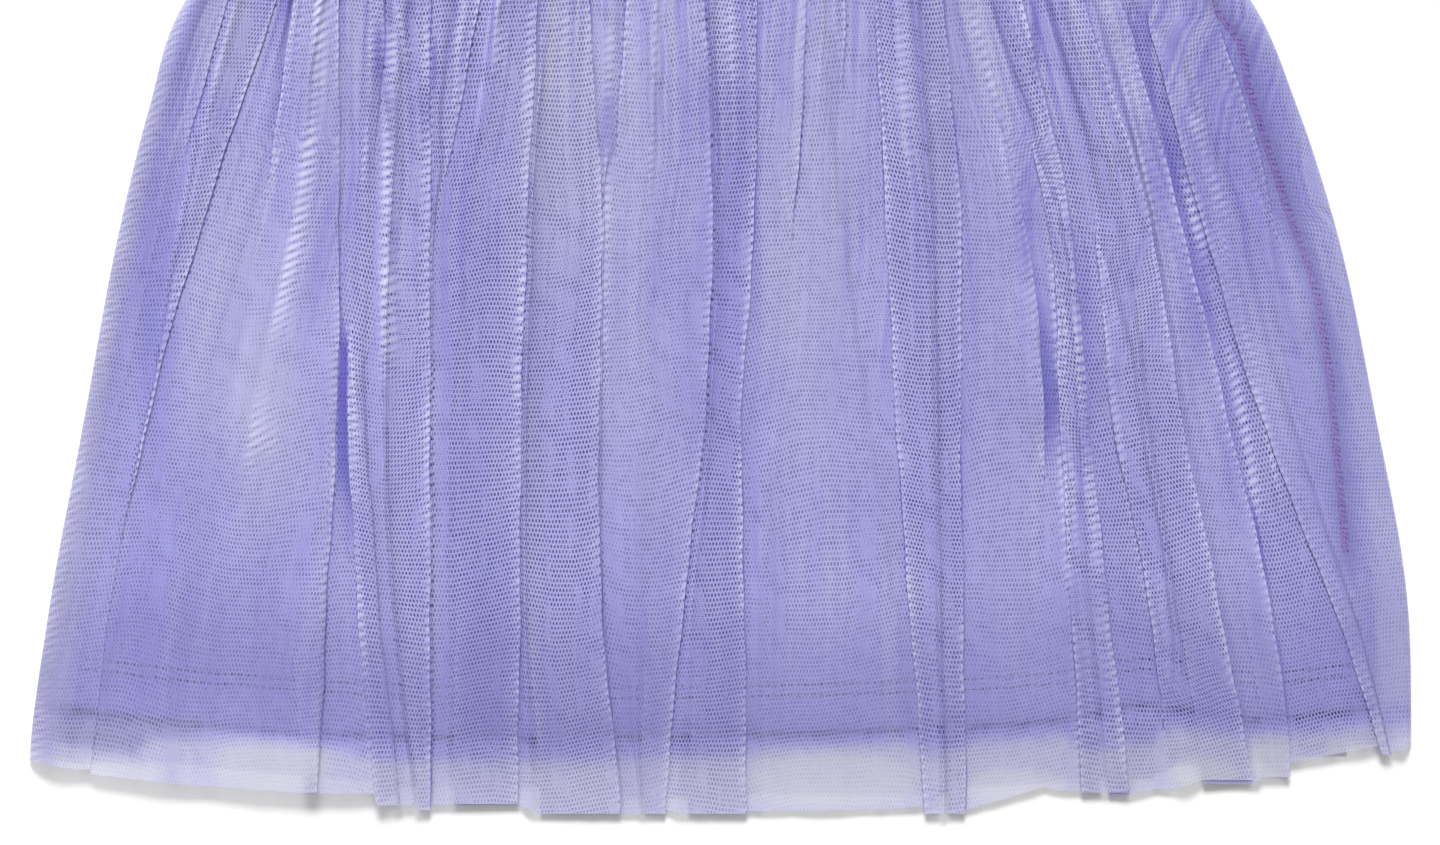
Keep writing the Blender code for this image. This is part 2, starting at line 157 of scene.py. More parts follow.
# Folds: how they fade and lift, the room they keep, how many points they have, and the painted shadow
# beside them
FADE_LENGTH = 48.0
FLAT_SPAN = 4.0
LIFT_LENGTH = 22.0
CLEARANCE = 1.0
SHORTEST_PANE = 3.4
SIDE_RUN = 3.2
PANE_SPACING = 2.0
TURN_POINTS = 5
MIDDLE_POINTS = 5
RUN_POINTS = 4
EDGE_REACH = 1.1
CONTACT = 0.45
PAINTED_SHADOW_WAVE = 130.0
PAINTED_CONTACT_SHADOW = 0.42
PAINTED_SHADOW_UNEVENNESS = 0.25
FLAT_TURN = 0.3
WAVER = 0.25
SKIRT_ROWS = 96

# Part of a fold: as one with the pane before it, hidden under it, or as one with the pane after it
BEFORE, UNDER, AFTER = range(3)

# Narrow openings between folds facing each other get painted shade: fully up to one width, not at all beyond
# the other. What lies under a fold gets painted shade too
SHADED_OPENING = (4.5, 11.0)
OPENING_SHADE_FADE = 0.75
HIDDEN_PAINTED_SHADE = 0.5
HIDDEN_LEVEL = 0.3

# Soft areas where the net lies denser and darker, or thinner and paler, than elsewhere. Some dark ones are
# painted shade: broad ones over the right side, and narrow ones in the openings between folds
Tint = namedtuple("Tint", "x below_waist half_width half_height strength")
DARK_TINTS_AND_SHADE = [Tint(*row) for row in (
    (-222, 250, 9, 130, 0.10),
    (-213, 170, 8, 60, 0.30),
    (-140, 90, 14, 60, 0.15),
    (-96, 200, 12, 120, 0.20),
    (-86, 300, 12, 50, 0.25),
    (2, 200, 14, 120, 0.22),
    (4, 120, 10, 60, 0.10),
    (-30, 290, 14, 70, 0.20),
    # The next two are painted shade over the right side
    (198, 110, 26, 60, 0.40),
    (236, 240, 26, 110, 0.15),
    (150, 280, 22, 80, 0.08),
    (88, 150, 16, 90, 0.20),
    (-192, 300, 60, 40, 0.12),
    (-196, 90, 40, 50, 0.10),
    (-190, 262, 38, 50, 0.12),
    # From here on: narrow painted shade in the openings between folds
    (-129.2, 74, 2.0, 11, 0.60),
    (-108.7, 78, 2.0, 11, 0.60),
    (-111.7, 101, 2.0, 14, 0.40),
    (-43.0, 100, 2.0, 17, 0.50),
    (119.5, 69, 2.0, 15, 0.55),
    (116, 135, 5, 24, 0.40),
    (138, 195, 3.5, 50, 0.35),
    (166, 115, 5, 30, 0.38),
    (181, 165, 6, 32, 0.38),
    (195, 212, 7, 36, 0.30),
)]
PALE_TINTS = [Tint(*row) for row in (
    (-184, 170, 22, 70, 0.20),
    (-172, 215, 14, 40, 0.25),
    (-60, 110, 16, 60, 0.30),
    (-36, 100, 12, 60, 0.22),
    (-140, 70, 20, 40, 0.18),
    (36, 130, 16, 90, 0.22),
    (92, 90, 18, 50, 0.18),
    (-186, 66, 14, 22, 0.30),
    (-33, 220, 14, 60, 0.12),
)]
GREATEST_SHADE = 0.6

# Creases of the front net: each has its own course, bow and height, and a width on each side
Crease = namedtuple("Crease", "starts ends x_start x_end bow height left right")
CREASES = [Crease(*row) for row in (
    (50, 232, -151.6, -179.5, 5.0, 0.9, 3.0, 3.5),
    (58, 88, -130.3, -129.8, 0.0, 1.4, 4.0, 1.0),
    (46, 90, 116.0, 119.8, 0.0, 1.5, 4.5, 1.0),
    (40, 112, -124.5, -113.0, 0.0, 1.2, 3.2, 0.8),
    (48, 132, -131.5, -136.0, 0.4, 1.1, 0.8, 3.0),
    (40, 104, -98.0, -101.0, 0.0, 1.1, 0.8, 4.0),
    (40, 150, -84.0, -89.0, 1.0, 1.2, 4.0, 0.8),
    (40, 108, -58.0, -59.5, 0.0, 1.1, 0.8, 4.5),
    (40, 136, -24.0, -27.0, 0.6, 1.2, 3.5, 0.8),
    (40, 118, 5.0, 4.0, 0.0, 1.0, 0.8, 3.5),
    (40, 128, 66.0, 72.0, 0.5, 1.1, 3.5, 0.8),
    (40, 150, 77.0, 84.0, 0.5, 1.0, 0.8, 3.5),
    (40, 150, 143.0, 167.0, 0.8, 1.2, 4.0, 0.8),
    (40, 170, 169.0, 196.0, 1.0, 1.2, 0.8, 4.0),
    (70, 250, 171.0, 214.0, 2.0, 1.1, 4.0, 0.8),
    (44, 150, -181.0, -204.0, -1.5, 1.0, 0.8, 4.0),
    (50, 126, 137.0, 159.5, 0.8, 1.9, 7.0, 1.0),
    (172, 362, -145.5, -153.0, -0.6, 1.5, 6.0, 0.7),
    (176, 362, -140.0, -130.2, -1.6, 1.4, 0.7, 6.0),
    (46, 120, -35.0, -44.8, 0.0, -0.6, 2.5, 2.5),
    (50, 216, -16.0, -22.6, 1.8, 0.8, 1.6, 5.5),
    (205, 335, 19.6, 11.6, 0.3, 0.8, 1.4, 3.6),
    (46, 128, 33.0, 29.4, 0.7, 1.1, 1.6, 4.5),
    (68, 330, 37.0, 72.0, -1.6, 1.7, 9.0, 1.8),
    (98, 226, 105.0, 124.5, 2.4, 2.2, 7.0, 0.8),
    (120, 362, 125.0, 138.0, -2.0, 1.5, 0.8, 5.0),
    (140, 362, 132.5, 155.5, -2.0, 1.0, 4.0, 0.8),
    (146, 300, 142.5, 165.0, -2.4, 1.2, 0.8, 5.0),
    (300, 362, 152.6, 156.0, 0.0, 1.2, 6.0, 1.2),
    (150, 350, 228.0, 246.0, 3.0, 0.9, 6.0, 3.0),
    (60, 190, 190.0, 222.0, 2.0, 1.0, 3.0, 7.0),
    (240, 362, -205.0, -212.0, 0.0, 0.5, 7.0, 5.0),
    (240, 362, -184.0, -180.0, 0.0, 0.6, 5.0, 9.0),
    (250, 362, 176.0, 184.0, 0.0, 0.9, 4.0, 6.0),
)]
CREASE_FADE = 22.0
STEEP = 1.0
CREST_BEADS = 0.75
UNEVENNESS = 0.32
LOOSENESS = 0.25

# The front net past the lining: it stands off at the left and sinks elsewhere, and its folds lie closer
PAST_LINING = (318.0, 36.0)
LIFTED_SIDE = (-150.0, 60.0)
HEM_LIFT = 1.2
HEM_SINK = 2.2
CLOSER = 0.45

# Gathers at the waist seam
GATHER_COUNT = 62
GATHER_HEIGHT = 2.6
GATHER_LENGTH = (26.0, 110.0)
GATHER_EVENNESS = 0.65
GATHER_REACH = 40.0
GATHER_FULLNESS = 0.8
SIDE_LEAN = 0.03

# The net's meshes and threads
MESH_WIDTH = 1.26
MESH_ROW = 1.78
UPRIGHT_THREADS = 1.06
SLANTED_THREADS = 0.94
THREAD_START = 0.42
THREAD_FULL = 0.76
THREAD_ALPHA = 0.92
FUZZ_ALPHA = (0.28, 0.58)
STRIP_OPENNESS = 0.28
SHEERNESS = 0.32

# A second layer of net shows through in streaks: its pitch and slant beside the first, and how strong it is
UNDER_PITCH = 1.07
UNDER_SLANT = 0.09
UNDER_THREADS = 0.86

# How open the net is beside the seam's threads, its darkness and greyness along the left side, its painted
# shade and greyness over the packed folds and the lining's shadow past its hem, the back net's painted shade
# under the other layers, and the shift of its meshes in metres
SEAM_SHEER = 1.9
SIDE_DARKNESS = 0.2
SIDE_GREYNESS = 0.5
HEM_SHADOW_DARKNESS = 0.22
HEM_SHADOW_GREYNESS = 0.55
BACK_PAINTED_SHADE = 0.35
BACK_SHIFT = (0.0004, 0.0007)

# Colours as sRGB bytes. Those in pairs are a material's lighter and darker one
BARE_COLOUR = (203, 202, 221)
# The dark and grey colours are laid on by the net's dark and grey values: partly painted shade, partly the
# net's own darker and greyer parts
DARK_COLOUR = (105, 100, 192)
GREY_COLOUR = (146, 144, 172)
BEAD_COLOUR = (226, 222, 244)
FRONT_NET_COLOURS = ((169, 168, 220), (161, 159, 214))
BACK_NET_COLOURS = ((178, 176, 226), (168, 166, 221))
LINING_COLOURS = ((137, 134, 199), (127, 124, 192))
BODICE_COLOURS = ((126, 124, 200), (117, 115, 192))
HEM_THREAD_COLOURS = ((66, 30, 112), (48, 18, 88))
SEAM_THREAD_COLOURS = ((158, 74, 190), (122, 50, 160))
BODICE_THREAD_COLOURS = ((176, 174, 230), (140, 138, 206))

# The net where nothing but the surface lies under it, and the streaks in its colour
BARE_CONTRAST = 0.30
BARE_VEIL = 0.48
STREAKS = (150.0, 9.0)
FINE_STREAKS = 3.1

# Jersey: the pitch of its wales and courses, and the depth of its bump in metres. Thread: its plies' pitch
WALE = 0.62
COURSE = 0.5
KNIT_DEPTH = 0.00012
PLY = 0.35

# Surfaces: roughness, specular level, sheen and the sheen's roughness
NET_SURFACE = (0.62, 0.25, 0.25, 0.4)
JERSEY_SURFACE = (0.88, 0.15, 0.2, 0.5)
THREAD_SURFACE = (0.55, 0.5, 0.15)
FLOOR_SURFACE = (0.9, 0.1)

# Scales of the noise in the net: soft patches, and fuzz between the threads
PATCH_SCALE = 26.0
FUZZ_SCALE = 260.0

# Where the streaks near the waist begin to fade and end, in metres down, and how strong they are there
NEAR_WAIST = (0.06, 0.21, 1.0, 0.12)

# The net below the lining's hem: how far the packed dark folds of the back net and the painted shadow of the
# lining's hem reach, and thin pale patches
FOLDS_AND_SHADOW_REACH = (
    (-266, 10), (-222, 11), (-216, 5), (-190, 2), (-150, 3), (-130, 7), (0, 6), (20, 3), (70, 3), (82, 8),
    (96, 4), (130, 4), (140, 12), (164, 12), (172, 5), (262, 4),
)
PalePatch = namedtuple("PalePatch", "x below_waist half_width half_height")
PALE_PATCHES = [PalePatch(*row) for row in (
    (-170, 343, 24, 13),
    (-232, 347, 22, 7),
    (43, 349, 36, 12),
    (111, 352, 20, 8),
    (209, 341, 9, 11),
    (184, 347, 14, 7),
    (240, 339, 12, 6),
)]

# Light beads where the net's rows bunch up at a fold's edge, and their share along the left side
BEAD_LIGHT = 0.6
SIDE_BEADS = 0.5

# Columns of light beads, where the net crosses the edge of a layer under it: half width, strength and course
BeadLine = namedtuple("BeadLine", "half_width strength course")
BEAD_LINES = [BeadLine(*row) for row in (
    (2.3, 1.6, (
        (-151.6, 53), (-152.8, 88), (-156.2, 111), (-159.2, 134), (-163.8, 158), (-169.1, 187), (-174.8, 213),
        (-178.6, 228),
    )),
    (2.2, 1.3, ((-125.0, 70), (-126.2, 129), (-126.6, 160), (-127.0, 190))),
    (1.8, 1.1, ((-71.5, 60), (-73.5, 130), (-76.5, 200), (-77.8, 240))),
    (1.8, 1.0, ((-41.5, 70), (-43.0, 110), (-43.5, 150), (-43.6, 190))),
    (2.2, 0.9, ((176.0, 120), (186.0, 160), (196.0, 200), (204.0, 250))),
    (2.0, 0.9, ((-110.5, 60), (-111.0, 120), (-110.5, 200), (-110.5, 260))),
    (2.0, 0.8, ((96.0, 60), (104.0, 90), (112.0, 118), (117.0, 140))),
)]

# Waves of the grain: how far the rows of meshes rise and fall, over what length, and their phase
GRAIN_WAVES = ((2.9, 105.0, 0.4), (0.9, 47.0, 2.1), (0.12, 14.0, 4.0))

# The lining's hem: turned up inside and sewn with two rows of stitches
HEM_TURN_UP = 20.0
LINING_COLUMNS = 150
LINING_ROWS = 70
HEM_ROWS = 14
STITCH_ROWS = (18.0, 14.0)
STITCH_PITCH = 2.9
STITCH_LENGTH = 2.3
HEM_STITCH_WIDTH = 1.3
STITCH_WIDTH = 0.7
STITCH_HEIGHT = 0.24

# The lining: its flat cloth in metres and the share of it that is cloth, the radius at which its hem turns
# up, its ripples' height and size, its drop at the sides, and how high and how far out its stitches lie
LINING_FLAT = (0.5, 0.351)
HEM_RADIUS = 0.3
HEM_DEPTH = 325.0
LINING_RIPPLE = 0.18
RIPPLE_SIZE = (60.0, 260.0)
LINING_SIDE_RUN = 2.5
LINING_SIDE_DROP = 0.35
STITCH_LIFT = 0.06
HEM_STITCH_REACH = 240.0

# The lining's right side seam, which has rolled to the front, as (x, below the waist seam)
SEAM_COURSE = (
    (184, 30), (187.7, 55), (198, 70), (200.6, 84), (207.5, 106), (216.6, 134.5), (223.8, 154), (231, 190),
    (234.5, 225), (238, 262),
)
SEAM_STITCH_PITCH = 1.9
SEAM_WIDTH = 3.0
SEAM_THREAD_WIDTH = 0.9
SEAM_THREAD_HEIGHT = 0.3
SEAM_THREAD_LIFT = 0.42
SEAM_THREAD_SLANT = 0.95

# Bodice: half widths and heights above the waist seam, then its cloth, flat size and areas in metres
WAIST_HALF = 142.0
CHEST_HALF = 146.0
UNDERARM_HEIGHT = 150.0
SHOULDER_HALF = 104.0
SHOULDER_HEIGHT = 252.0
NECK_HALF = 62.0
FRONT_NECK_DEPTH = 64.0
BACK_NECK_DEPTH = 24.0
SIDE_HEIGHTS = (0, 50, 100, UNDERARM_HEIGHT)
SIDE_WIDTHS = (WAIST_HALF, 140, 142, CHEST_HALF)
EDGE_HEM = 9.0
BODICE_SHELL = 0.7
SIDE_ROLL = 6.0
FRONT_LIFT = 0.55
BACK_LIFT = 0.4
BODICE_STITCH_LIFT = 0.55
STITCH_INSET = 7.0
BODICE_COLUMNS = 40
WRINKLE_SIZE = (90.0, 120.0)
WAIST_RISE = 2.0
WAIST_RISE_LENGTH = 46.0

# Creases of the bodice: from one point to another above the waist seam, height and width to each side
BodiceCrease = namedtuple("BodiceCrease", "x_start y_start x_end y_end height left right")
BODICE_CREASES = [BodiceCrease(*row) for row in (
    (-138, 132, -70, 96, 0.9, 9.0, 4.0),
    (-134, 108, -84, 70, 0.6, 4.0, 9.0),
    (136, 136, 74, 104, 0.8, 5.0, 9.0),
    (138, 112, 92, 66, 0.7, 8.0, 4.0),
    (-30, 170, 46, 158, 0.5, 8.0, 11.0),
    (-78, 214, -52, 166, 0.5, 6.0, 9.0),
    (80, 220, 58, 170, 0.5, 9.0, 6.0),
    (-104, 0, -88, 58, 0.8, 4.0, 7.0),
    (-60, 0, -66, 44, 0.7, 6.0, 3.5),
    (-18, 0, -10, 66, 0.8, 3.5, 7.0),
    (28, 0, 22, 50, 0.7, 6.0, 4.0),
    (72, 0, 82, 62, 0.8, 4.0, 6.0),
    (112, 0, 104, 40, 0.6, 5.0, 5.0),
    (-50, 112, 30, 88, -0.5, 10.0, 12.0),
    (4, 128, 84, 130, 0.45, 7.0, 12.0),
)]

SEED = 11

# Main light, even over the whole surface: strength, angular size, turn to the left, elevation and distance
KEY_STRENGTH = 3.8
KEY_SIZE = 24.0
KEY_TURN = 2.0
KEY_ELEVATION = 38.0
KEY_DISTANCE = 3.0

# Weaker light from the left: width, height, power, turn, elevation and distance
FILL = (0.9, 0.7, 2.2, 90.0, 28.0, 1.0)

# Sky brightness overhead and near the horizon, and the height (sine) up to which it counts as near
SKY_OVERHEAD = 0.33
SKY_HORIZON = 1.0
HORIZON_HEIGHT = 0.22
WHITE_SURFACE = 0.97


def smooth(value):
    value = np.clip(value, 0.0, 1.0)
    return value * value * (3 - 2 * value)


def ramp(value, start, length):
    """Climbs softly from 0 at the start to 1 after the length."""
    return smooth((value - start) / length)


def bell(away, width):
    return np.exp(-np.square(away / width))


def curve_through(places, values, place):
    """Values on the smooth curve through the given ones (a cubic with averaged slopes)."""
    places = np.asarray(places, dtype=float)
    values = np.asarray(values, dtype=float)
    slopes = np.gradient(values, places)
    place = np.clip(place, places[0], places[-1])
    i = np.clip(np.searchsorted(places, place, side="right") - 1, 0, len(places) - 2)
    span = places[i + 1] - places[i]
    t = (place - places[i]) / span
    rise = values[i + 1] - values[i]
    bend_a = slopes[i] * span - rise
    bend_b = rise - slopes[i + 1] * span
    return values[i] + rise * t + t * (1 - t) * (bend_a * (1 - t) + bend_b * t)


def outline_at(below_waist):
    return [curve_through(OUTLINE_DEPTHS, edge, below_waist) for edge in (LEFT_EDGE, RIGHT_EDGE)]


def lining_outline_at(below_waist):
    inset = curve_through(OUTLINE_DEPTHS, LINING_INSET, below_waist)
    left, right = outline_at(below_waist)
    return left + inset, right - inset


def hem_at(hem, x):
    places, depths = zip(*hem)
    return curve_through(places, depths, x)


def course_at(course, below_waist):
    """Where a line down the skirt, given as (x, below the waist seam), runs at a depth."""
    places, depths = zip(*course)
    return curve_through(depths, places, below_waist)


def wobble(x, below_waist, seed, wide=34.0, tall=150.0):
    """Soft unevenness between about -1 and 1, longer along the skirt than across it."""
    random = np.random.default_rng(seed)
    total = np.zeros(np.broadcast(x, below_waist).shape)
    for octave in range(4):
        scale = 1.0 / (1.0 + octave)
        turn = random.uniform(0, 2 * math.pi, 3)
        across = 2 * math.pi * (1 + octave) * random.uniform(0.8, 1.25) / wide
        along = 2 * math.pi * random.uniform(0.6, 1.4) / tall
        total += scale * np.sin(across * x + turn[0] + 1.3 * np.sin(along * below_waist + turn[1]))
        total += 0.4 * scale * np.sin(along * below_waist * 2.2 + turn[2] + 0.4 * across * x)
    return total / 2.6


def creases(x, below_waist):
    """Height of the creases, and how near each point is to the crest of a steep one."""
    total = np.zeros(np.broadcast(x, below_waist).shape)
    crests = np.zeros(total.shape)
    for crease in CREASES:
        along = np.clip((below_waist - crease.starts) / (crease.ends - crease.starts), 0, 1)
        course = crease.x_start + (crease.x_end - crease.x_start) * along
        away = x - course - crease.bow * np.sin(math.pi * along)
        fade = ramp(below_waist, crease.starts, CREASE_FADE)
        if crease.ends < SKIRT_LENGTH:
            fade = fade * smooth((crease.ends - below_waist) / CREASE_FADE)
        total += crease.height * bell(away, np.where(away < 0, crease.left, crease.right)) * fade
        if min(crease.left, crease.right) <= STEEP:
            crests = np.maximum(crests, CREST_BEADS * fade * bell(away, EDGE_REACH))
    return total, crests


def bead_columns(x, below_waist):
    total = np.zeros(x.shape)
    for line in BEAD_LINES:
        away = x - course_at(line.course, below_waist)
        first, last = line.course[0][1], line.course[-1][1]
        fade = ramp(below_waist, first - 12, 14) * smooth((last + 16 - below_waist) / 24)
        total = np.maximum(total, line.strength * fade * bell(away, line.half_width))
    return total


class Lap:
    """A fold at one depth below the waist seam: the cloth turns back at x = far and on again at x = near."""

    def __init__(self, fold, below_waist):
        edge = float(curve_through(STATIONS, fold.edges, below_waist))
        if below_waist < TOP_OF_FOLDS:
            left, right = outline_at(below_waist)
            top_left, top_right = outline_at(TOP_OF_FOLDS)
            edge *= (right - left) / (top_right - top_left)
        phase = fold.edges[0] + 2.0 * fold.edges[2]
        edge += WAVER * (math.sin(below_waist / 11 + phase) + 0.6 * math.sin(below_waist / 4.3 + 2.3 * phase))
        fading = 1 - ramp(below_waist, fold.ends, FADE_LENGTH)
        self.lift = float(ramp(below_waist, fold.starts, LIFT_LENGTH) * fading)
        depth = float(curve_through(STATIONS, fold.depths, below_waist))
        depth *= min(max((below_waist - fold.starts - LIFT_LENGTH / 2) / fold.grow, 0.0), 1.0) * float(fading)
        # A thin painted shadow on the cloth just beside the fold's edge, uneven along it
        uneven = math.sin(2 * math.pi * below_waist / PAINTED_SHADOW_WAVE + fold.edges[0])
        uneven += math.sin(below_waist / 9 + depth)
        self.contact_shadow = self.lift * (PAINTED_CONTACT_SHADOW + PAINTED_SHADOW_UNEVENNESS * uneven)
        spread = FLAT_SPAN * (1 - self.lift)
        self.fold = fold
        self.faces_right = fold.faces > 0
        if self.faces_right:
            self.turn_back = edge - spread / 2
            self.turn_on = self.turn_back - (depth - spread)
        else:
            self.turn_on = edge + spread / 2
            self.turn_back = self.turn_on + (depth - spread)
        self.level_before = 2 * self.lift if self.faces_right else 0.0
        self.level_after = 0.0 if self.faces_right else 2 * self.lift

    @property
    def near(self):
        return min(self.turn_back, self.turn_on)

    @property
    def far(self):
        return max(self.turn_back, self.turn_on)

    def shorten(self, lack):
        """Takes up to this much off the part of the fold that lies under."""
        lack = max(min(lack, self.turn_back - self.turn_on), 0.0)
        if self.faces_right:
            self.turn_on += lack
        else:
            self.turn_back -= lack

    def points(self, radius):
        """Points of the turns and of what lies between them.

        Each is (x, level, share of the way across, nearness to an edge, painted shade, part), where part is
        BEFORE or AFTER for what shows as one with the pane on that side, and UNDER for the rest.
        """
        radius = radius * self.lift
        middle = HIDDEN_LEVEL * self.lift
        entry = self.near - (CLEARANCE if self.faces_right else CONTACT)
        leave = self.far + (CONTACT if self.faces_right else CLEARANCE)
        spread = FLAT_TURN * (1 - self.lift)
        first_part, last_part = (BEFORE, UNDER) if self.faces_right else (UNDER, AFTER)
        result = []

        def add(x, level, share, edge, part):
            # What lies under a fold gets painted shade
            dark = HIDDEN_PAINTED_SHADE * self.lift * (part == UNDER)
            result.append((x, level, share, edge, dark, part))

        def run(start, finish, level, share, count, turns, part):
            for i in range(1, count + 1):
                t = i / (count + 1)
                t = {"end": 1 - (1 - t) ** 2, "start": t * t, "both": t * t * (3 - 2 * t)}[turns]
                x = start + (finish - start) * t
                away = min(abs(x - self.turn_back), abs(x - self.turn_on))
                add(x, level, t if share is None else share, self.lift * math.exp(-away / EDGE_REACH), part)

        def turn(place, side, first, last, share, parts):
            for i in range(TURN_POINTS):
                angle = math.pi * i / (TURN_POINTS - 1)
                level = first + (last - first) * (1 - math.cos(angle)) / 2
                x = place + side * radius * math.sin(angle) + spread * (2 * i / (TURN_POINTS - 1) - 1)
                add(x, level, share, self.lift, parts[i > TURN_POINTS // 2])

        if not self.faces_right:
            result.append((entry, self.level_before, 0.0, 0.0, self.contact_shadow, UNDER))
        run(entry, self.turn_back - spread, self.level_before, 0.0, RUN_POINTS, "end", first_part)
        turn(self.turn_back, 1, self.level_before, middle, 0.0, (first_part, UNDER))
        run(self.turn_back + spread, self.turn_on - spread, middle, None, MIDDLE_POINTS, "both", UNDER)
        turn(self.turn_on, -1, middle, self.level_after, 1.0, (UNDER, last_part))
        run(self.turn_on + spread, leave, self.level_after, 1.0, RUN_POINTS, "start", last_part)
        if self.faces_right:
            result.append((leave, self.level_after, 1.0, 0.0, self.contact_shadow, UNDER))
        return result


def make_room(laps, right):
    """Shortens what lies under a fold where it would come too near to the next one."""
    for before, after in zip(laps, laps[1:]):
        lack = SHORTEST_PANE - (after.near - before.far)
        if lack > 0 and after.faces_right:
            after.shorten(lack)
        elif lack > 0 and not before.faces_right:
            before.shorten(lack)
    lack = SHORTEST_PANE - (right - SIDE_RUN - laps[-1].far)
    if lack > 0 and not laps[-1].faces_right:
        laps[-1].shorten(lack)


def pane_counts(folds):
    """How many points each pane has across, from its greatest width."""
    edges = [LEFT_EDGE[2:7], *(fold.edges for fold in folds), RIGHT_EDGE[2:7]]
    widest = [max(b - a for a, b in zip(before, after)) for before, after in zip(edges, edges[1:])]
    return [max(8, math.ceil(width / PANE_SPACING)) for width in widest]


def pane_level(before, after, share):
    """Level across a pane: it keeps high over what lies under the fold beside it."""
    if after > before:
        return before + (after - before) * smooth(share / 0.6)
    return before + (after - before) * smooth((share - 0.4) / 0.6)


def opening_painted_shade(before, after):
    """Painted shade in the opening between two folds facing each other, and how far it fades across it."""
    if before is None or after is None or not before.faces_right or after.faces_right:
        return 0.0, 0.0
    width = after.near - before.far
    narrow = 1 - ramp(width, SHADED_OPENING[0], SHADED_OPENING[1] - SHADED_OPENING[0])
    return float(narrow) * min(before.lift, after.lift) ** 2, float(ramp(width, 4.0, 5.0))


def pleated_skirt(folds, left_hem, right_hem, left_crown):
    """A pleated panel: its points by row and column, and each column's pane or -1.

    A point is x, depth below the waist, level, crown, edge nearness and painted shade.
    """
    counts = pane_counts(folds)
    grid = []
    for i in range(SKIRT_ROWS):
        down = i / (SKIRT_ROWS - 1)
        mean = down * SKIRT_LENGTH
        side = down * (left_hem + right_hem) / 2
        left, right = outline_at(side)
        laps = [Lap(fold, down * (fold.hem_before + fold.hem_after) / 2) for fold in folds]
        make_room(laps, right)
        fullness = float(smooth(mean / TOP_OF_FOLDS))
        row = [(left, left_hem, 0.0, 0.0, 0.0, 0.0)]
        panes = [0]
        start_x = left + SIDE_RUN / 4
        start_level = 0.0
        start_hem = left_hem
        crown = left_crown
        for k, (lap, count) in enumerate(zip(laps + [None], counts)):
            if lap is None:
                end_x, end_level, end_hem = right - SIDE_RUN / 4, 0.0, right_hem
            else:
                end_x, end_level, end_hem = lap.near - CLEARANCE, lap.level_before, lap.fold.hem_before
            dark, fade = opening_painted_shade(laps[k - 1] if k > 0 else None, lap)
            for j in range(count):
                share = j / (count - 1)
                level = float(pane_level(start_level, end_level, share))
                rise = crown * fullness * math.sin(math.pi * share)
                hem = start_hem + (end_hem - start_hem) * share
                shade = dark * (1 - OPENING_SHADE_FADE * fade * (share if end_x > 0 else 1 - share))
                row.append((start_x + (end_x - start_x) * share, hem, level, rise, 0.0, shade))
                panes.append(k)
            if lap is None:
                break
            fold = lap.fold
            for x, level, share, edge, painted_shade, part in lap.points(LAYER_STEP / 2):
                hem = fold.hem_before + (fold.hem_after - fold.hem_before) * share
                row.append((x, hem, level, 0.0, edge, painted_shade))
                panes.append({BEFORE: k, UNDER: -1, AFTER: k + 1}[part])
            start_x = lap.far + CLEARANCE
            start_level = lap.level_after
            start_hem = fold.hem_after
            crown = fold.crown
        row.append((right, right_hem, 0.0, 0.0, 0.0, 0.0))
        panes.append(len(folds))
        points = np.array(row)
        points[:, 1] *= down
        grid.append(points)
    return np.array(grid), np.array(panes)


def gather(grid, panes, height, seed):
    """Draws the columns together evenly at the waist seam and gives the height of the small gathers there.

    What lies under a fold is gathered less than what covers it.
    """
    random = np.random.default_rng(seed)
    columns = grid.shape[1]
    share = np.linspace(0, 1, columns)
    below = grid[:, :, 1]
    even = grid[:, :1, 0] + (grid[:, -1:, 0] - grid[:, :1, 0]) * share
    pull = GATHER_EVENNESS * (1 - smooth(below / GATHER_REACH))
    grid[:, :, 0] += (even - grid[:, :, 0]) * pull
    knots = np.linspace(0, 1, GATHER_COUNT)
    strength = np.interp(share, knots, random.uniform(0.45, 1.0, GATHER_COUNT))
    length = np.interp(share, knots, random.uniform(*GATHER_LENGTH, GATHER_COUNT))
    uneven = np.interp(share, knots, random.uniform(-0.9, 0.9, GATHER_COUNT))
    wave = 0.5 + 0.5 * np.sin(2 * math.pi * GATHER_COUNT * share + uneven)
    near_seam = 0.35 + 0.65 * smooth(below / 9.0)
    on_top = np.convolve(panes >= 0, FOLD_BLUR / FOLD_BLUR.sum(), "same")
    return height * on_top * strength * wave * bell(below, length) * near_seam


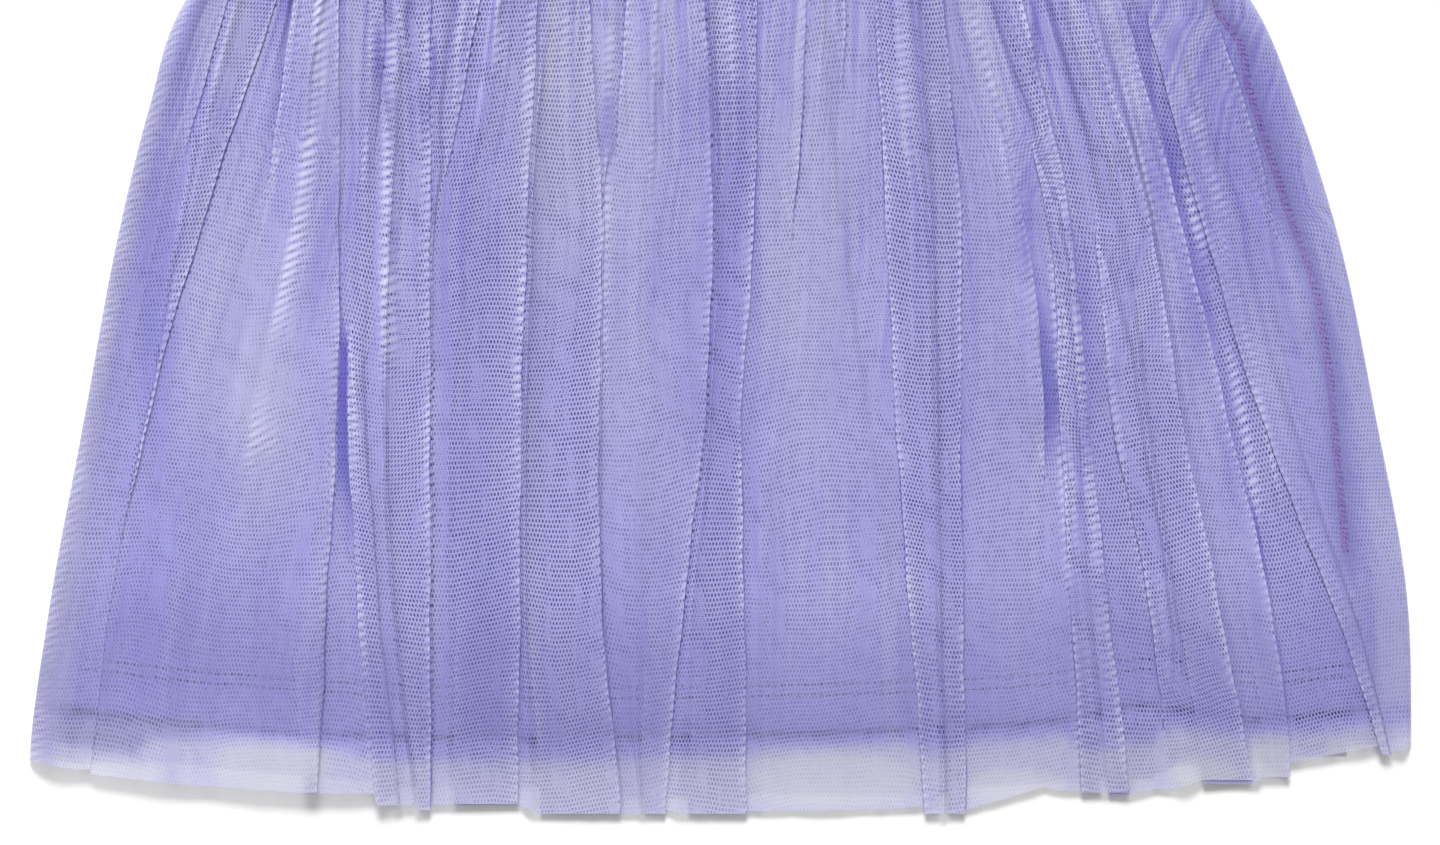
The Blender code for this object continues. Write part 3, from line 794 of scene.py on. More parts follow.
def cloth_places(grid, z, panes, folds):
    """Each point's place on the cut cloth, in metres, and the cut width in millimetres.

    Meshes keep their true width on what shows, and the folds take up the rest. The grain has slight waves.
    """
    x = grid[:, :, 0]
    below = grid[:, :, 1]
    steps = np.hypot(np.diff(x, axis=1), np.diff(z, axis=1))
    length = np.concatenate([np.zeros((len(grid), 1)), np.cumsum(steps, axis=1)], axis=1)
    cut_width = length[:, -1].max()
    firsts = [np.flatnonzero(panes == k)[0] for k in range(panes.max() + 1)]
    lasts = [np.flatnonzero(panes == k)[-1] for k in range(panes.max() + 1)]
    middles = (length[:, firsts] + length[:, lasts]) / 2
    centres = np.empty_like(middles)
    centres[:, 0] = middles[-1, 0]
    rows = np.arange(len(grid))
    for k, fold in enumerate(folds, start=1):
        if fold.starts < LIFT_LENGTH and fold.ends > SKIRT_LENGTH:
            centres[:, k] = middles[-1, k]
            continue
        gap = middles[:, k] - middles[:, k - 1]
        if fold.starts < LIFT_LENGTH:
            end_row = np.searchsorted(below.mean(axis=1), fold.ends + FADE_LENGTH / 2)
            gap = gap[np.maximum(rows, min(end_row, len(rows) - 1))]
        centres[:, k] = centres[:, k - 1] + gap
    fullness = 1 + GATHER_FULLNESS * (1 - smooth(below.mean(axis=1) / TOP_OF_FOLDS))
    across = np.empty_like(length)
    for k, (first, last) in enumerate(zip(firsts, lasts)):
        own = slice(first, last + 1)
        across[:, own] = centres[:, k, None] + fullness[:, None] * (length[:, own] - middles[:, k, None])
    for last, first in zip(lasts, firsts[1:]):
        own = slice(last + 1, first)
        share = (length[:, own] - length[:, last, None]) / (length[:, first, None] - length[:, last, None])
        across[:, own] = across[:, last, None] + share * (across[:, first, None] - across[:, last, None])
    down = below * (1 + SIDE_LEAN * np.square(x / outline_at(SKIRT_LENGTH)[1]))
    wave = np.zeros(x.shape)
    sway = np.zeros(x.shape)
    for height, span, turn in GRAIN_WAVES:
        wave += height * np.sin(2 * math.pi * across / span + turn + np.sin(2 * math.pi * down / 170 + turn))
        sway += 0.25 * height * np.sin(2 * math.pi * down / span + turn * 2 + across / 40)
    return (across + sway) * MM, (down + wave) * MM, cut_width


def spread_from(patch, x, below):
    """0 at the middle of a soft patch and 1 at its half width and half height."""
    across = (x - patch.x) / patch.half_width
    down = (below - patch.below_waist) / patch.half_height
    return np.square(across) + np.square(down)


def bareness(x, below):
    """How far the net has nothing but the white surface under it, with thin pale patches near its hem."""
    lining_left, lining_right = lining_outline_at(below)
    past = below - hem_at(LINING_FRONT_HEM, x)
    past_side = ramp(lining_left - x, -1.0, 3.0) + ramp(x - lining_right, -1.0, 3.0)
    patches = np.zeros(x.shape)
    for patch in PALE_PATCHES:
        patches = np.maximum(patches, 1 - ramp(spread_from(patch, x, below), 0.35, 0.9))
    patches *= ramp(past, 1.5, 6.0)
    past_hem = 0.6 * ramp(past, 1.0, 7.0) * (1 - 0.75 * packed_folds_and_hem_shadow(x, below)) + 0.4 * patches
    return np.clip(np.maximum(past_hem, 0.25 * past_side), 0, 1)


def packed_folds_and_hem_shadow(x, below):
    """The packed dark folds of the back net and the painted shadow of the lining's hem on them, ending softly.
    """
    past = below - hem_at(LINING_FRONT_HEM, x)
    return ramp(past, -0.5, 1.5) * (1 - ramp(past, np.interp(x, *zip(*FOLDS_AND_SHADOW_REACH)), 7.0))


def tint_strength(tints, x, below):
    return sum(tint.strength * bell(spread_from(tint, x, below), 1.0) for tint in tints)


def side_drop(x, left, right, base, side):
    """Height of a layer near the garment's sides, where front and back meet in a round fold."""
    away = np.minimum(x - left, right - x)
    t = np.clip(away / SIDE_RUN, 0, 1)
    return side + (base - side) * np.sqrt(1 - np.square(1 - t))


def grid_object(name, x, y, z, places, values=None):
    """A sheet through a grid of points in millimetres, with its cloth places as UVs."""
    rows, columns = x.shape
    mesh = bpy.data.meshes.new(name)
    index = np.arange(rows * columns).reshape(rows, columns)
    quads = np.stack([index[:-1, :-1], index[1:, :-1], index[1:, 1:], index[:-1, 1:]], axis=-1).reshape(-1, 4)
    points = np.stack([x, y, z], axis=-1).reshape(-1, 3) * MM
    mesh.vertices.add(len(points))
    mesh.vertices.foreach_set("co", points.ravel())
    mesh.loops.add(quads.size)
    mesh.loops.foreach_set("vertex_index", quads.ravel())
    mesh.polygons.add(len(quads))
    mesh.polygons.foreach_set("loop_start", np.arange(0, quads.size, 4))
    mesh.update(calc_edges=True)
    mesh.validate()
    layer = mesh.uv_layers.new(name="cloth")
    spread = np.stack([np.broadcast_to(place, x.shape) for place in places], axis=-1)
    layer.data.foreach_set("uv", spread.reshape(-1, 2)[quads.ravel()].ravel())
    for key, value in (values or {}).items():
        layer = mesh.attributes.new(key, "FLOAT", "POINT")
        layer.data.foreach_set("value", value.ravel().astype(np.float32))
    return mesh_object(name, mesh)


def mesh_object(name, mesh):
    mesh.shade_smooth()
    piece = bpy.data.objects.new(name, mesh)
    bpy.context.scene.collection.objects.link(piece)
    return piece


def finish_piece(piece, material, slot, *nodes):
    piece.data.materials.clear()
    piece.data.materials.append(material)
    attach(piece, "root")
    if nodes:
        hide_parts(*nodes)
    return piece


def linear(red, green, blue):
    """A colour given as sRGB bytes, as Blender's linear numbers."""
    channels = []
    for byte in (red, green, blue):
        value = byte / 255
        channels.append(value / 12.92 if value <= 0.04045 else ((value + 0.055) / 1.055) ** 2.4)
    return tuple(channels)


class Value:
    """A value that a material's nodes work out, written as arithmetic."""

    def __init__(self, tree, socket):
        self.tree = tree
        self.socket = socket

    def feed(self, node, *values):
        """Gives a node its inputs: numbers, colours as sRGB bytes, other values, or None to skip one."""
        for socket, value in zip(node.inputs, values):
            if isinstance(value, Value):
                self.tree.links.new(value.socket, socket)
            elif isinstance(value, tuple):
                socket.default_value = (*linear(*value), 1.0)
            elif value is not None:
                socket.default_value = value
        return node

    def apply(self, operation, *others):
        node = self.tree.nodes.new("ShaderNodeMath")
        node.operation = operation
        return Value(self.tree, self.feed(node, self, *others).outputs[0])

    def __add__(self, other):
        return self.apply("ADD", other)

    def __sub__(self, other):
        return self.apply("SUBTRACT", other)

    def __mul__(self, other):
        return self.apply("MULTIPLY", other)

    def __truediv__(self, other):
        return self.apply("DIVIDE", other)

    def map(self, low, high, to_low=0.0, to_high=1.0, kind="LINEAR"):
        node = self.tree.nodes.new("ShaderNodeMapRange")
        node.interpolation_type = kind
        return Value(self.tree, self.feed(node, self, low, high, to_low, to_high).outputs[0])

    def parts(self):
        node = self.tree.nodes.new("ShaderNodeSeparateXYZ")
        return [Value(self.tree, socket) for socket in self.feed(node, self).outputs]

    def noise(self, scale, detail=2.0):
        node = self.tree.nodes.new("ShaderNodeTexNoise")
        node.inputs["Scale"].default_value = scale
        node.inputs["Detail"].default_value = detail
        return Value(self.tree, self.feed(node, self).outputs[0])

    def blend(self, first, second):
        """The second colour over the first, as far as this value says."""
        node = self.tree.nodes.new("ShaderNodeMix")
        node.data_type = "RGBA"
        return Value(self.tree, self.feed(node, self, *[None] * 5, first, second).outputs[2])


def new_material(name, *surface):
    """A material, its node tree and its shader, with the surface's roughness, specular level and sheen."""
    material = bpy.data.materials.new(name)
    material.use_nodes = True
    shader = material.node_tree.nodes["Principled BSDF"]
    for key, value in zip(("Roughness", "Specular IOR Level", "Sheen Weight", "Sheen Roughness"), surface):
        shader.inputs[key].default_value = value
    return material, material.node_tree, shader


def cloth_coordinates(tree):
    """The place on the flat cloth in metres, as a vector, across and down."""
    node = tree.nodes.new("ShaderNodeUVMap")
    node.uv_map = "cloth"
    vector = Value(tree, node.outputs[0])
    return vector, *vector.parts()[:2]


def attribute_value(tree, key):
    node = tree.nodes.new("ShaderNodeAttribute")
    node.attribute_name = key
    return Value(tree, node.outputs["Fac"])


def streak_noise(u, v):
    """Long soft streaks down the cloth."""
    node = u.tree.nodes.new("ShaderNodeCombineXYZ")
    u.feed(node, u * STREAKS[0], v * STREAKS[1])
    return Value(u.tree, node.outputs[0]).noise(1.0, 3.0)


def mesh_distance(across, down, shift):
    """0 at the middle of a mesh and 1 on its threads, for one of two interleaved sets of meshes."""
    a, b = (((place + shift).apply("FRACT") - 0.5).apply("ABSOLUTE") for place in (across, down))
    return (a * (2.0 * UPRIGHT_THREADS)).apply("MAXIMUM", (b * 3.0 + a) * SLANTED_THREADS)


def net_distance(across, down):
    return mesh_distance(across, down, 0.0).apply("MINIMUM", mesh_distance(across, down, 0.5))


def net_material(name, thread, shaded_thread):
    """Soft hexagonal net: threads with open meshes between them, denser where the cloth turns at a fold."""
    material, tree, shader = new_material(name, *NET_SURFACE)
    vector, u, v = cloth_coordinates(tree)
    across = u / (MESH_WIDTH * MM)
    down = v / (2 * MESH_ROW * MM)
    streaks = streak_noise(u, v)
    under = net_distance((v * UNDER_SLANT + u) / (UNDER_PITCH * MESH_WIDTH * MM), down / UNDER_PITCH)
    under = under * streaks.map(0.40, 0.58, 0.0, UNDER_THREADS)
    distance = net_distance(across, down).apply("MAXIMUM", under)
    keys = ("fold_edge", "dark", "bare", "strip", "sheer", "grey")
    edge, dark, bare, strip, sheer, grey = (attribute_value(tree, key) for key in keys)
    patches = vector.noise(PATCH_SCALE)
    wave = (across * 0.9 + down * (2 * math.pi)).apply("SINE") * 0.5 + 0.5
    bead = edge * wave * patches.map(0.35, 0.6, 0.2, 1.0)
    threads = (bead * 0.5 + distance).map(THREAD_START, THREAD_FULL, 0.0, 1.0, "SMOOTHSTEP")
    fuzz = vector.noise(FUZZ_SCALE).map(0.36, 0.64, *FUZZ_ALPHA) - strip * STRIP_OPENNESS
    mask = threads * (fuzz * -1.0 + THREAD_ALPHA) + fuzz
    mask = mask * (sheer * -SHEERNESS + 1.0)
    mask = mask + bare * (mask * BARE_CONTRAST + BARE_VEIL - mask)
    near_waist = v.map(*NEAR_WAIST)
    fine = streak_noise(u * FINE_STREAKS, v)
    colour = patches.map(0.3, 0.7).blend(shaded_thread, thread)
    # The dark and grey values are painted shade beside and under folds, in openings and under the lining's hem,
    # and the net's own darker parts elsewhere
    for share, layer in (
        (streaks.map(0.52, 0.72, 0.0, 0.22), DARK_COLOUR),
        (streaks.map(0.48, 0.28, 0.0, 0.20), BARE_COLOUR),
        (near_waist * fine.map(0.50, 0.66, 0.0, 0.42), DARK_COLOUR),
        (near_waist * fine.map(0.48, 0.34, 0.0, 0.42), BARE_COLOUR),
        (bare, BARE_COLOUR),
        (dark, DARK_COLOUR),
        (grey, GREY_COLOUR),
        (bead * BEAD_LIGHT, BEAD_COLOUR),
    ):
        colour = share.blend(colour, layer)
    tree.links.new(colour.socket, shader.inputs["Base Color"])
    tree.links.new(mask.socket, shader.inputs["Alpha"])
    return material


def jersey_material(name, light, dark):
    """Fine jersey: ribs of small V-shaped stitches, with soft uneven dye."""
    material, tree, shader = new_material(name, *JERSEY_SURFACE)
    vector, u, v = cloth_coordinates(tree)
    rib = (u * (2 * math.pi / (WALE * MM))).apply("SINE")
    stitch = (rib.apply("ABSOLUTE") * 2.2 + v * (2 * math.pi / (COURSE * MM))).apply("SINE")
    knit = stitch * 0.45 + rib * 0.35
    colour = (knit * 0.12 + vector.noise(60.0, 3.0)).map(0.25, 0.75).blend(dark, light)
    tree.links.new(colour.socket, shader.inputs["Base Color"])
    bump = tree.nodes.new("ShaderNodeBump")
    bump.inputs["Strength"].default_value = 0.5
    bump.inputs["Distance"].default_value = KNIT_DEPTH
    tree.links.new(knit.socket, bump.inputs["Height"])
    tree.links.new(bump.outputs[0], shader.inputs["Normal"])
    return material


def thread_material(name, light, dark):
    """Sewing thread: two plies wound round each other."""
    material, tree, shader = new_material(name, *THREAD_SURFACE)
    x, y, _ = Value(tree, tree.nodes.new("ShaderNodeTexCoord").outputs["Object"]).parts()
    ply = ((x + y * 0.6) * (2 * math.pi / (PLY * MM))).apply("SINE")
    tree.links.new(ply.map(-1.0, 1.0).blend(dark, light).socket, shader.inputs["Base Color"])
    return material


def net_piece(node, material, grid, z, panes, folds, values, length, shift=(0.0, 0.0)):
    """The net piece in place of a node, with its cut: gathered cloth, a little narrower at the waist."""
    u, v, cut_width = cloth_places(grid, z, panes, folds)
    places = (u + shift[0], v + shift[1])
    piece = grid_object(node + "_net", grid[:, :, 0], WAIST_Y - grid[:, :, 1], z, places, values)
    finish_piece(piece, material, "tulle", node)
    flat = (cut_width * MM, length * MM)
    NET_AREA_SHARE * flat[0] * flat[1]


def skirt_front(material):
    grid, panes = pleated_skirt(FRONT_FOLDS, *FRONT_SIDES)
    gathers = gather(grid, panes, GATHER_HEIGHT, SEED)
    x, below, level, crown, edge, dark = np.moveaxis(grid, 2, 0)
    from_left = x - x[:, :1]
    base = side_drop(x, x[:, :1], x[:, -1:], TULLE_BASE_Z, SIDE_Z)
    softness = smooth(below / 30.0) * smooth(np.minimum(from_left, x[:, -1:] - x) / 12.0)
    relief, crests = creases(x, below)
    relief += UNEVENNESS * wobble(x, below, SEED) + LOOSENESS
    past_lining = ramp(below, *PAST_LINING)
    inwards = ramp(x, *LIFTED_SIDE)
    relief += (HEM_LIFT * (1 - inwards) - HEM_SINK * inwards) * past_lining
    z = base + level * LAYER_STEP * (1 - CLOSER * past_lining) + crown + gathers + softness * relief

    side_edge = SIDE_BEADS * (1 - ramp(from_left, 2.0, 6.0)) * ramp(below, 40, 30)
    edge = np.maximum.reduce([edge, bead_columns(x, below), side_edge, crests])
    # The band under the lining's hem is painted shadow as well as packed folds of the back net
    folds_and_shadow = packed_folds_and_hem_shadow(x, below)
    side = SIDE_DARKNESS * smooth(from_left / 3.0) * (1 - ramp(from_left, 6.0, 8.0))
    shade = tint_strength(DARK_TINTS_AND_SHADE, x, below) + side * smooth(below / 60.0)
    # The dark value: painted shade beside and under folds, in narrow openings, under the lining's hem and in
    # some soft areas
    dark = np.maximum.reduce([dark, HEM_SHADOW_DARKNESS * folds_and_shadow, np.clip(shade, 0, GREATEST_SHADE)])
    above_hem = hem_at(LINING_FRONT_HEM, x) - below
    sheer = ramp(above_hem, -4.0, 4.0) * (1 - ramp(above_hem, 16.0, 44.0))
    by_seam = bell(x - course_at(SEAM_COURSE, below), 4.0) * (1 - ramp(below, SEAM_COURSE[-1][1], 20.0))
    grey = SIDE_GREYNESS * (1 - ramp(from_left, 4.0, 8.0)) * ramp(below, 40.0, 60.0)
    strip = np.convolve(np.isin(panes, STRIP_PANES), STRIP_BLUR / STRIP_BLUR.sum(), "same")
    values = {
        "fold_edge": edge,
        "dark": dark,
        "bare": np.maximum(bareness(x, below), tint_strength(PALE_TINTS, x, below)),
        "sheer": np.maximum(sheer, SEAM_SHEER * by_seam),
        "grey": np.maximum(grey, HEM_SHADOW_GREYNESS * folds_and_shadow * (1 - ramp(x, -205.0, 25.0))),
        "strip": np.broadcast_to(strip, x.shape),
    }
    net_piece("tulle_front", material, grid, z, panes, FRONT_FOLDS, values, SKIRT_LENGTH)


def skirt_back(material):
    grid, panes = pleated_skirt(BACK_FOLDS, *BACK_SIDES)
    gathers = gather(grid, panes, BACK_GATHERS, SEED + 1)
    x, below, level, _, edge, _ = np.moveaxis(grid, 2, 0)
    z = side_drop(x, x[:, :1], x[:, -1:], BACK_BASE_Z, SIDE_Z) + level * BACK_STEP + gathers
    bare = bareness(x, below)
    # The back net is painted darker, as shade, except where it lies bare past the lining, and most in the band
    # under the lining's hem
    dark = np.maximum(BACK_PAINTED_SHADE, packed_folds_and_hem_shadow(x, below)) * (1 - bare)
    values = {"fold_edge": edge, "dark": dark, "bare": bare}
    net_piece("tulle_back", material, grid, z, panes, BACK_FOLDS, values, BACK_LENGTH, BACK_SHIFT)


def lining_skirt(name, hem, base_z, material, node, seed, hang):
    """A jersey panel whose hem turns under and back up inside; hang is how its hem's height varies."""
    across = np.linspace(0, 1, LINING_COLUMNS)
    side_hem = hem[0][1] + (hem[-1][1] - hem[0][1]) * across
    rows = []

    def add_row(share, past, lower, drop_past=0.0):
        left, right = lining_outline_at(side_hem * share)
        x = left + (right - left) * across
        below = hem_at(hem, x) * share
        away = np.minimum(x - left, right - x)
        drop = LINING_SIDE_DROP * (1 - np.clip(away / LINING_SIDE_RUN, 0, 1)) ** 2
        ripple = LINING_RIPPLE * wobble(x, below, seed, *RIPPLE_SIZE)
        z = base_z + ripple * smooth(below / 40) + hang(x, below) - drop - lower
        rows.append((x, below + drop_past, z, below + past))

    for share in np.linspace(0, 1, LINING_ROWS):
        add_row(share, 0.0, 0.0)
    for angle in np.linspace(0, math.pi, 6)[1:]:
        add_row(1.0, HEM_RADIUS * angle, HEM_RADIUS * (1 - math.cos(angle)), HEM_RADIUS * math.sin(angle))
    for share in np.linspace(0, 1, HEM_ROWS)[1:]:
        add_row(1.0 - share * HEM_TURN_UP / HEM_DEPTH, HEM_TURN_UP * share, 2 * HEM_RADIUS)
    x, below, z, v = np.moveaxis(np.array(rows), 1, 0)
    piece = grid_object(name, x, WAIST_Y - below, z, (across * LINING_FLAT[0], v * MM))
    finish_piece(piece, material, "lining_jersey", node)


def lining_hang(x, below):
    """How the front lining's height changes towards its hem: low by some pleats, standing off by others."""
    low = 0.9 * bell(x + 170, 26) + 0.5 * bell(x - 118, 16)
    high = 0.25 * bell(x - 150, 14) + 0.2 * bell(x + 232, 20)
    return (high - low) * ramp(below, 250, 80)


def capsule_row(name, stitches, size, material, slot):
    """Many small stitches as one mesh: bars of one size, each at (x, y, z, direction)."""
    bar = bmesh.new()
    bmesh.ops.create_uvsphere(bar, u_segments=6, v_segments=4, radius=0.5)
    bar_points = np.array([vert.co[:] for vert in bar.verts]) * size
    bar_faces = [[vert.index for vert in face.verts] for face in bar.faces]
    bar.free()
    vertices = []
    faces = []
    for x, y, z, direction in stitches:
        along = np.array([math.cos(direction), math.sin(direction), 0.0])
        turned = np.array([along, [-along[1], along[0], 0.0], [0.0, 0.0, 1.0]])
        faces += [[len(vertices) + i for i in face] for face in bar_faces]
        vertices += [tuple(spot) for spot in (np.array([x, y, z]) + bar_points @ turned) * MM]
    mesh = bpy.data.meshes.new(name)
    mesh.from_pydata(vertices, [], faces)
    return finish_piece(mesh_object(name, mesh), material, slot)


def slope_of(curve, place):
    return float(curve(place + 1) - curve(place - 1)) / 2


def lining_hem_stitches(material):
    stitches = []
    random = np.random.default_rng(SEED + 5)
    for above_hem in STITCH_ROWS:
        x = -HEM_STITCH_REACH
        while x < HEM_STITCH_REACH:
            # The rows come a little nearer to the hem towards the right
            extra = 1.0 - 2.6 * (x + HEM_STITCH_REACH) / (2 * HEM_STITCH_REACH)
            depth = float(hem_at(LINING_FRONT_HEM, x)) - above_hem - extra
            left, right = lining_outline_at(depth)
            if left + 3 < x < right - 3:
                slope = slope_of(lambda place: hem_at(LINING_FRONT_HEM, place), x)
                place = np.array(x), np.array(depth)
                z = LINING_FRONT_Z + LINING_RIPPLE * float(wobble(*place, SEED + 3, *RIPPLE_SIZE))
                z += float(lining_hang(*place)) + STITCH_LIFT
                y = WAIST_Y - depth + random.normal(0, 0.06)
                stitches.append((x, y, z, random.normal(0, 0.05) - slope))
            x += STITCH_PITCH
    bar = (STITCH_LENGTH, HEM_STITCH_WIDTH, STITCH_HEIGHT)
    capsule_row("lining_hem_stitches", stitches, bar, material, "lining_jersey")


def side_seam_threads(material):
    """Overlock threads of the lining's right side seam: slanted bars across it, and loops beside them."""
    stitches = []
    random = np.random.default_rng(SEED + 6)
    z = LINING_FRONT_Z + SEAM_THREAD_LIFT
    depth = SEAM_COURSE[0][1]
    while depth < SEAM_COURSE[-1][1]:
        x = float(course_at(SEAM_COURSE, depth))
        run = math.atan2(-1.0, slope_of(lambda place: course_at(SEAM_COURSE, place), depth))
        y = WAIST_Y - depth
        stitches.append((x, y, z, run + SEAM_THREAD_SLANT + random.normal(0, 0.3)))
        stitches.append((x - SEAM_WIDTH / 2, y, z, run + random.normal(0, 0.08)))
        depth += SEAM_STITCH_PITCH * random.uniform(0.8, 1.5)
    bar = (SEAM_WIDTH, SEAM_THREAD_WIDTH, SEAM_THREAD_HEIGHT)
    capsule_row("side_seam_threads", stitches, bar, material, "lining_jersey")


def bodice_panel(name, neck_depth, front, material, node, seed):
    """Half panels from the middle or neck edge out to the side or armhole edge, joined down the middle."""
    chest_share = 0.55
    neck_share = 0.72
    shares = np.concatenate([
        np.linspace(0, chest_share, 44),
        np.linspace(chest_share, neck_share, 20)[1:],
        np.linspace(neck_share, 1, 34)[1:],
    ])
    across = np.linspace(0, 1, BODICE_COLUMNS)
    x_rows = []
    y_rows = []
    for t in shares:
        if t <= chest_share:
            y = UNDERARM_HEIGHT * t / chest_share
            inner = (0.0, y)
            outer = (float(curve_through(SIDE_HEIGHTS, SIDE_WIDTHS, y)), y)
        else:
            angle = math.pi / 2 * (t - chest_share) / (1 - chest_share)
            outer = (
                SHOULDER_HALF + (CHEST_HALF - SHOULDER_HALF) * (1 - math.sin(angle)),
                UNDERARM_HEIGHT + (SHOULDER_HEIGHT - UNDERARM_HEIGHT) * (1 - math.cos(angle)),
            )
            if t <= neck_share:
                climb = (t - chest_share) / (neck_share - chest_share)
                inner = (0.0, UNDERARM_HEIGHT + (BODICE_LENGTH - neck_depth - UNDERARM_HEIGHT) * climb)
            else:
                turn = math.pi / 2 * (t - neck_share) / (1 - neck_share)
                inner = (NECK_HALF * math.sin(turn), BODICE_LENGTH - neck_depth * math.cos(turn))
        x_rows.append(inner[0] + (outer[0] - inner[0]) * across)
        y_rows.append(inner[1] + (outer[1] - inner[1]) * across)
    y = np.array(y_rows)
    shape = bmesh.new()
    for side in (-1, 1):
        x = side * np.array(x_rows)
        z = bodice_height(x, y, front, neck_depth, seed)
        half = grid_object("half", x, WAIST_Y + y, z, (x * MM, y * MM))
        shape.from_mesh(half.data)
        bpy.data.objects.remove(half, do_unlink=True)
    bmesh.ops.remove_doubles(shape, verts=shape.verts, dist=0.00001)
    bmesh.ops.recalc_face_normals(shape, faces=shape.faces)
    mesh = bpy.data.meshes.new(name)
    shape.to_mesh(mesh)
    shape.free()
    piece = mesh_object(name, mesh)
    shell = piece.modifiers.new("jersey", "SOLIDIFY")
    shell.thickness = BODICE_SHELL * MM
    shell.offset = 0.0
    finish_piece(piece, material, "bodice_jersey", node)


def bodice_crease_height(x, y):
    total = np.zeros(np.broadcast(x, y).shape)
    for crease in BODICE_CREASES:
        run_x = crease.x_end - crease.x_start
        run_y = crease.y_end - crease.y_start
        length = math.hypot(run_x, run_y)
        along = ((x - crease.x_start) * run_x + (y - crease.y_start) * run_y) / length
        away = ((x - crease.x_start) * run_y - (y - crease.y_start) * run_x) / length
        fade = smooth(along / (0.3 * length) + 0.2) * smooth((length - along) / (0.5 * length))
        total += crease.height * bell(away, np.where(away < 0, crease.left, crease.right)) * fade
    return total


def edge_distance(x, y, neck_depth):
    """Distance from the nearest neck or armhole edge, in millimetres."""
    neck = np.hypot(x / NECK_HALF, (y - BODICE_LENGTH) / neck_depth) - 1
    arm_width = CHEST_HALF - SHOULDER_HALF
    arm_height = SHOULDER_HEIGHT - UNDERARM_HEIGHT
    arm = np.hypot((np.abs(x) - CHEST_HALF) / arm_width, (y - SHOULDER_HEIGHT) / arm_height) - 1
    arm = np.where(y > UNDERARM_HEIGHT - 30, arm * arm_width, 99.0)
    return np.maximum(np.minimum(neck * min(NECK_HALF, neck_depth), arm), 0)


def bodice_base(front):
    """Height of a bodice panel's cloth where it lies flat."""
    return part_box("bodice_front" if front else "bodice_back")[0].z / MM + (FRONT_LIFT if front else BACK_LIFT)


def bodice_height(x, y, front, neck_depth, seed):
    """Height of a bodice panel: soft wrinkles, turned-in edges, and at the waist the rise to its seam."""
    z = bodice_base(front) + 0.15 * wobble(x, y, seed, *WRINKLE_SIZE)
    if front:
        z += bodice_crease_height(x, y)
    else:
        z += 0.35 * bodice_crease_height(-x, y) * ramp(y, 20, 40)
    nearest = edge_distance(x, y, neck_depth)
    z += 0.3 * smooth((EDGE_HEM - nearest) / 1.2) - 0.22 * bell(nearest - STITCH_INSET, 1.1)
    z += 0.35 * bell(y - 5.0, 2.4) - 0.3 * bell(y, 1.6) - 0.2 * bell(nearest, 1.2)
    if front:
        pull = 0.55 * bell(y, 26.0) * np.sin(2 * math.pi * x / 11.0 + 1.5 * np.sin(x / 17.0))
        z += WAIST_RISE * (1 - smooth(y / WAIST_RISE_LENGTH)) + np.maximum(pull, -0.2)
        slope = (BODICE_LENGTH - SHOULDER_HEIGHT) / (SHOULDER_HALF - NECK_HALF)
        shoulder = (BODICE_LENGTH - (np.abs(x) - NECK_HALF) * slope - y) * 0.92
        side = CHEST_HALF - 2.0 - np.abs(x) + 60.0 * ramp(y, UNDERARM_HEIGHT, 6.0)
        roll = 1 - np.clip(np.minimum(side, shoulder) / SIDE_ROLL, 0, 1)
        z = z + (1.25 - z) * np.square(roll)
    return z


def bodice_stitches(material):
    """One row of stitches round the neck and each armhole, on the front and on what shows of the back."""
    stitches = []
    turns = np.linspace(0.02, math.pi / 2, 400)
    arm_width = CHEST_HALF - SHOULDER_HALF + STITCH_INSET
    arm_height = SHOULDER_HEIGHT - UNDERARM_HEIGHT + STITCH_INSET
    for neck_depth, front in ((FRONT_NECK_DEPTH, True), (BACK_NECK_DEPTH, False)):
        top = bodice_base(front) + BODICE_STITCH_LIFT
        across = NECK_HALF + STITCH_INSET
        down = neck_depth + STITCH_INSET
        neck = [(across * math.sin(a), BODICE_LENGTH - down * math.cos(a)) for a in turns]
        arm = [
            (CHEST_HALF - arm_width * math.sin(a), SHOULDER_HEIGHT - arm_height * math.cos(a)) for a in turns
        ]
        for side in (-1, 1):
            for path in (neck, arm) if front else (neck,):
                travelled = 0.0
                for (x0, y0), (x1, y1) in zip(path, path[1:]):
                    travelled += math.hypot(x1 - x0, y1 - y0)
                    if travelled < STITCH_PITCH:
                        continue
                    travelled = 0.0
                    if not front and x1 > NECK_HALF - 2:
                        continue
                    place = np.array(side * x1), np.array(y1)
                    z = top + 0.12 * float(wobble(*place, SEED + (7 if front else 8), *WRINKLE_SIZE))
                    stitches.append((side * x1, WAIST_Y + y1, z, math.atan2(y1 - y0, side * (x1 - x0))))
    bar = (STITCH_LENGTH, STITCH_WIDTH, STITCH_HEIGHT)
    capsule_row("bodice_stitches", stitches, bar, material, "bodice_jersey")


def place_lamp(name, light, turn, elevation, reach):
    lamp = bpy.data.objects.new(name, light)
    turn = math.radians(turn)
    elevation = math.radians(elevation)
    away = reach * math.cos(elevation)
    lamp.location = (-away * math.sin(turn), away * math.cos(turn) - 0.15, reach * math.sin(elevation))
    lamp.rotation_euler = (elevation - math.pi / 2, 0.0, turn)
    bpy.context.scene.collection.objects.link(lamp)


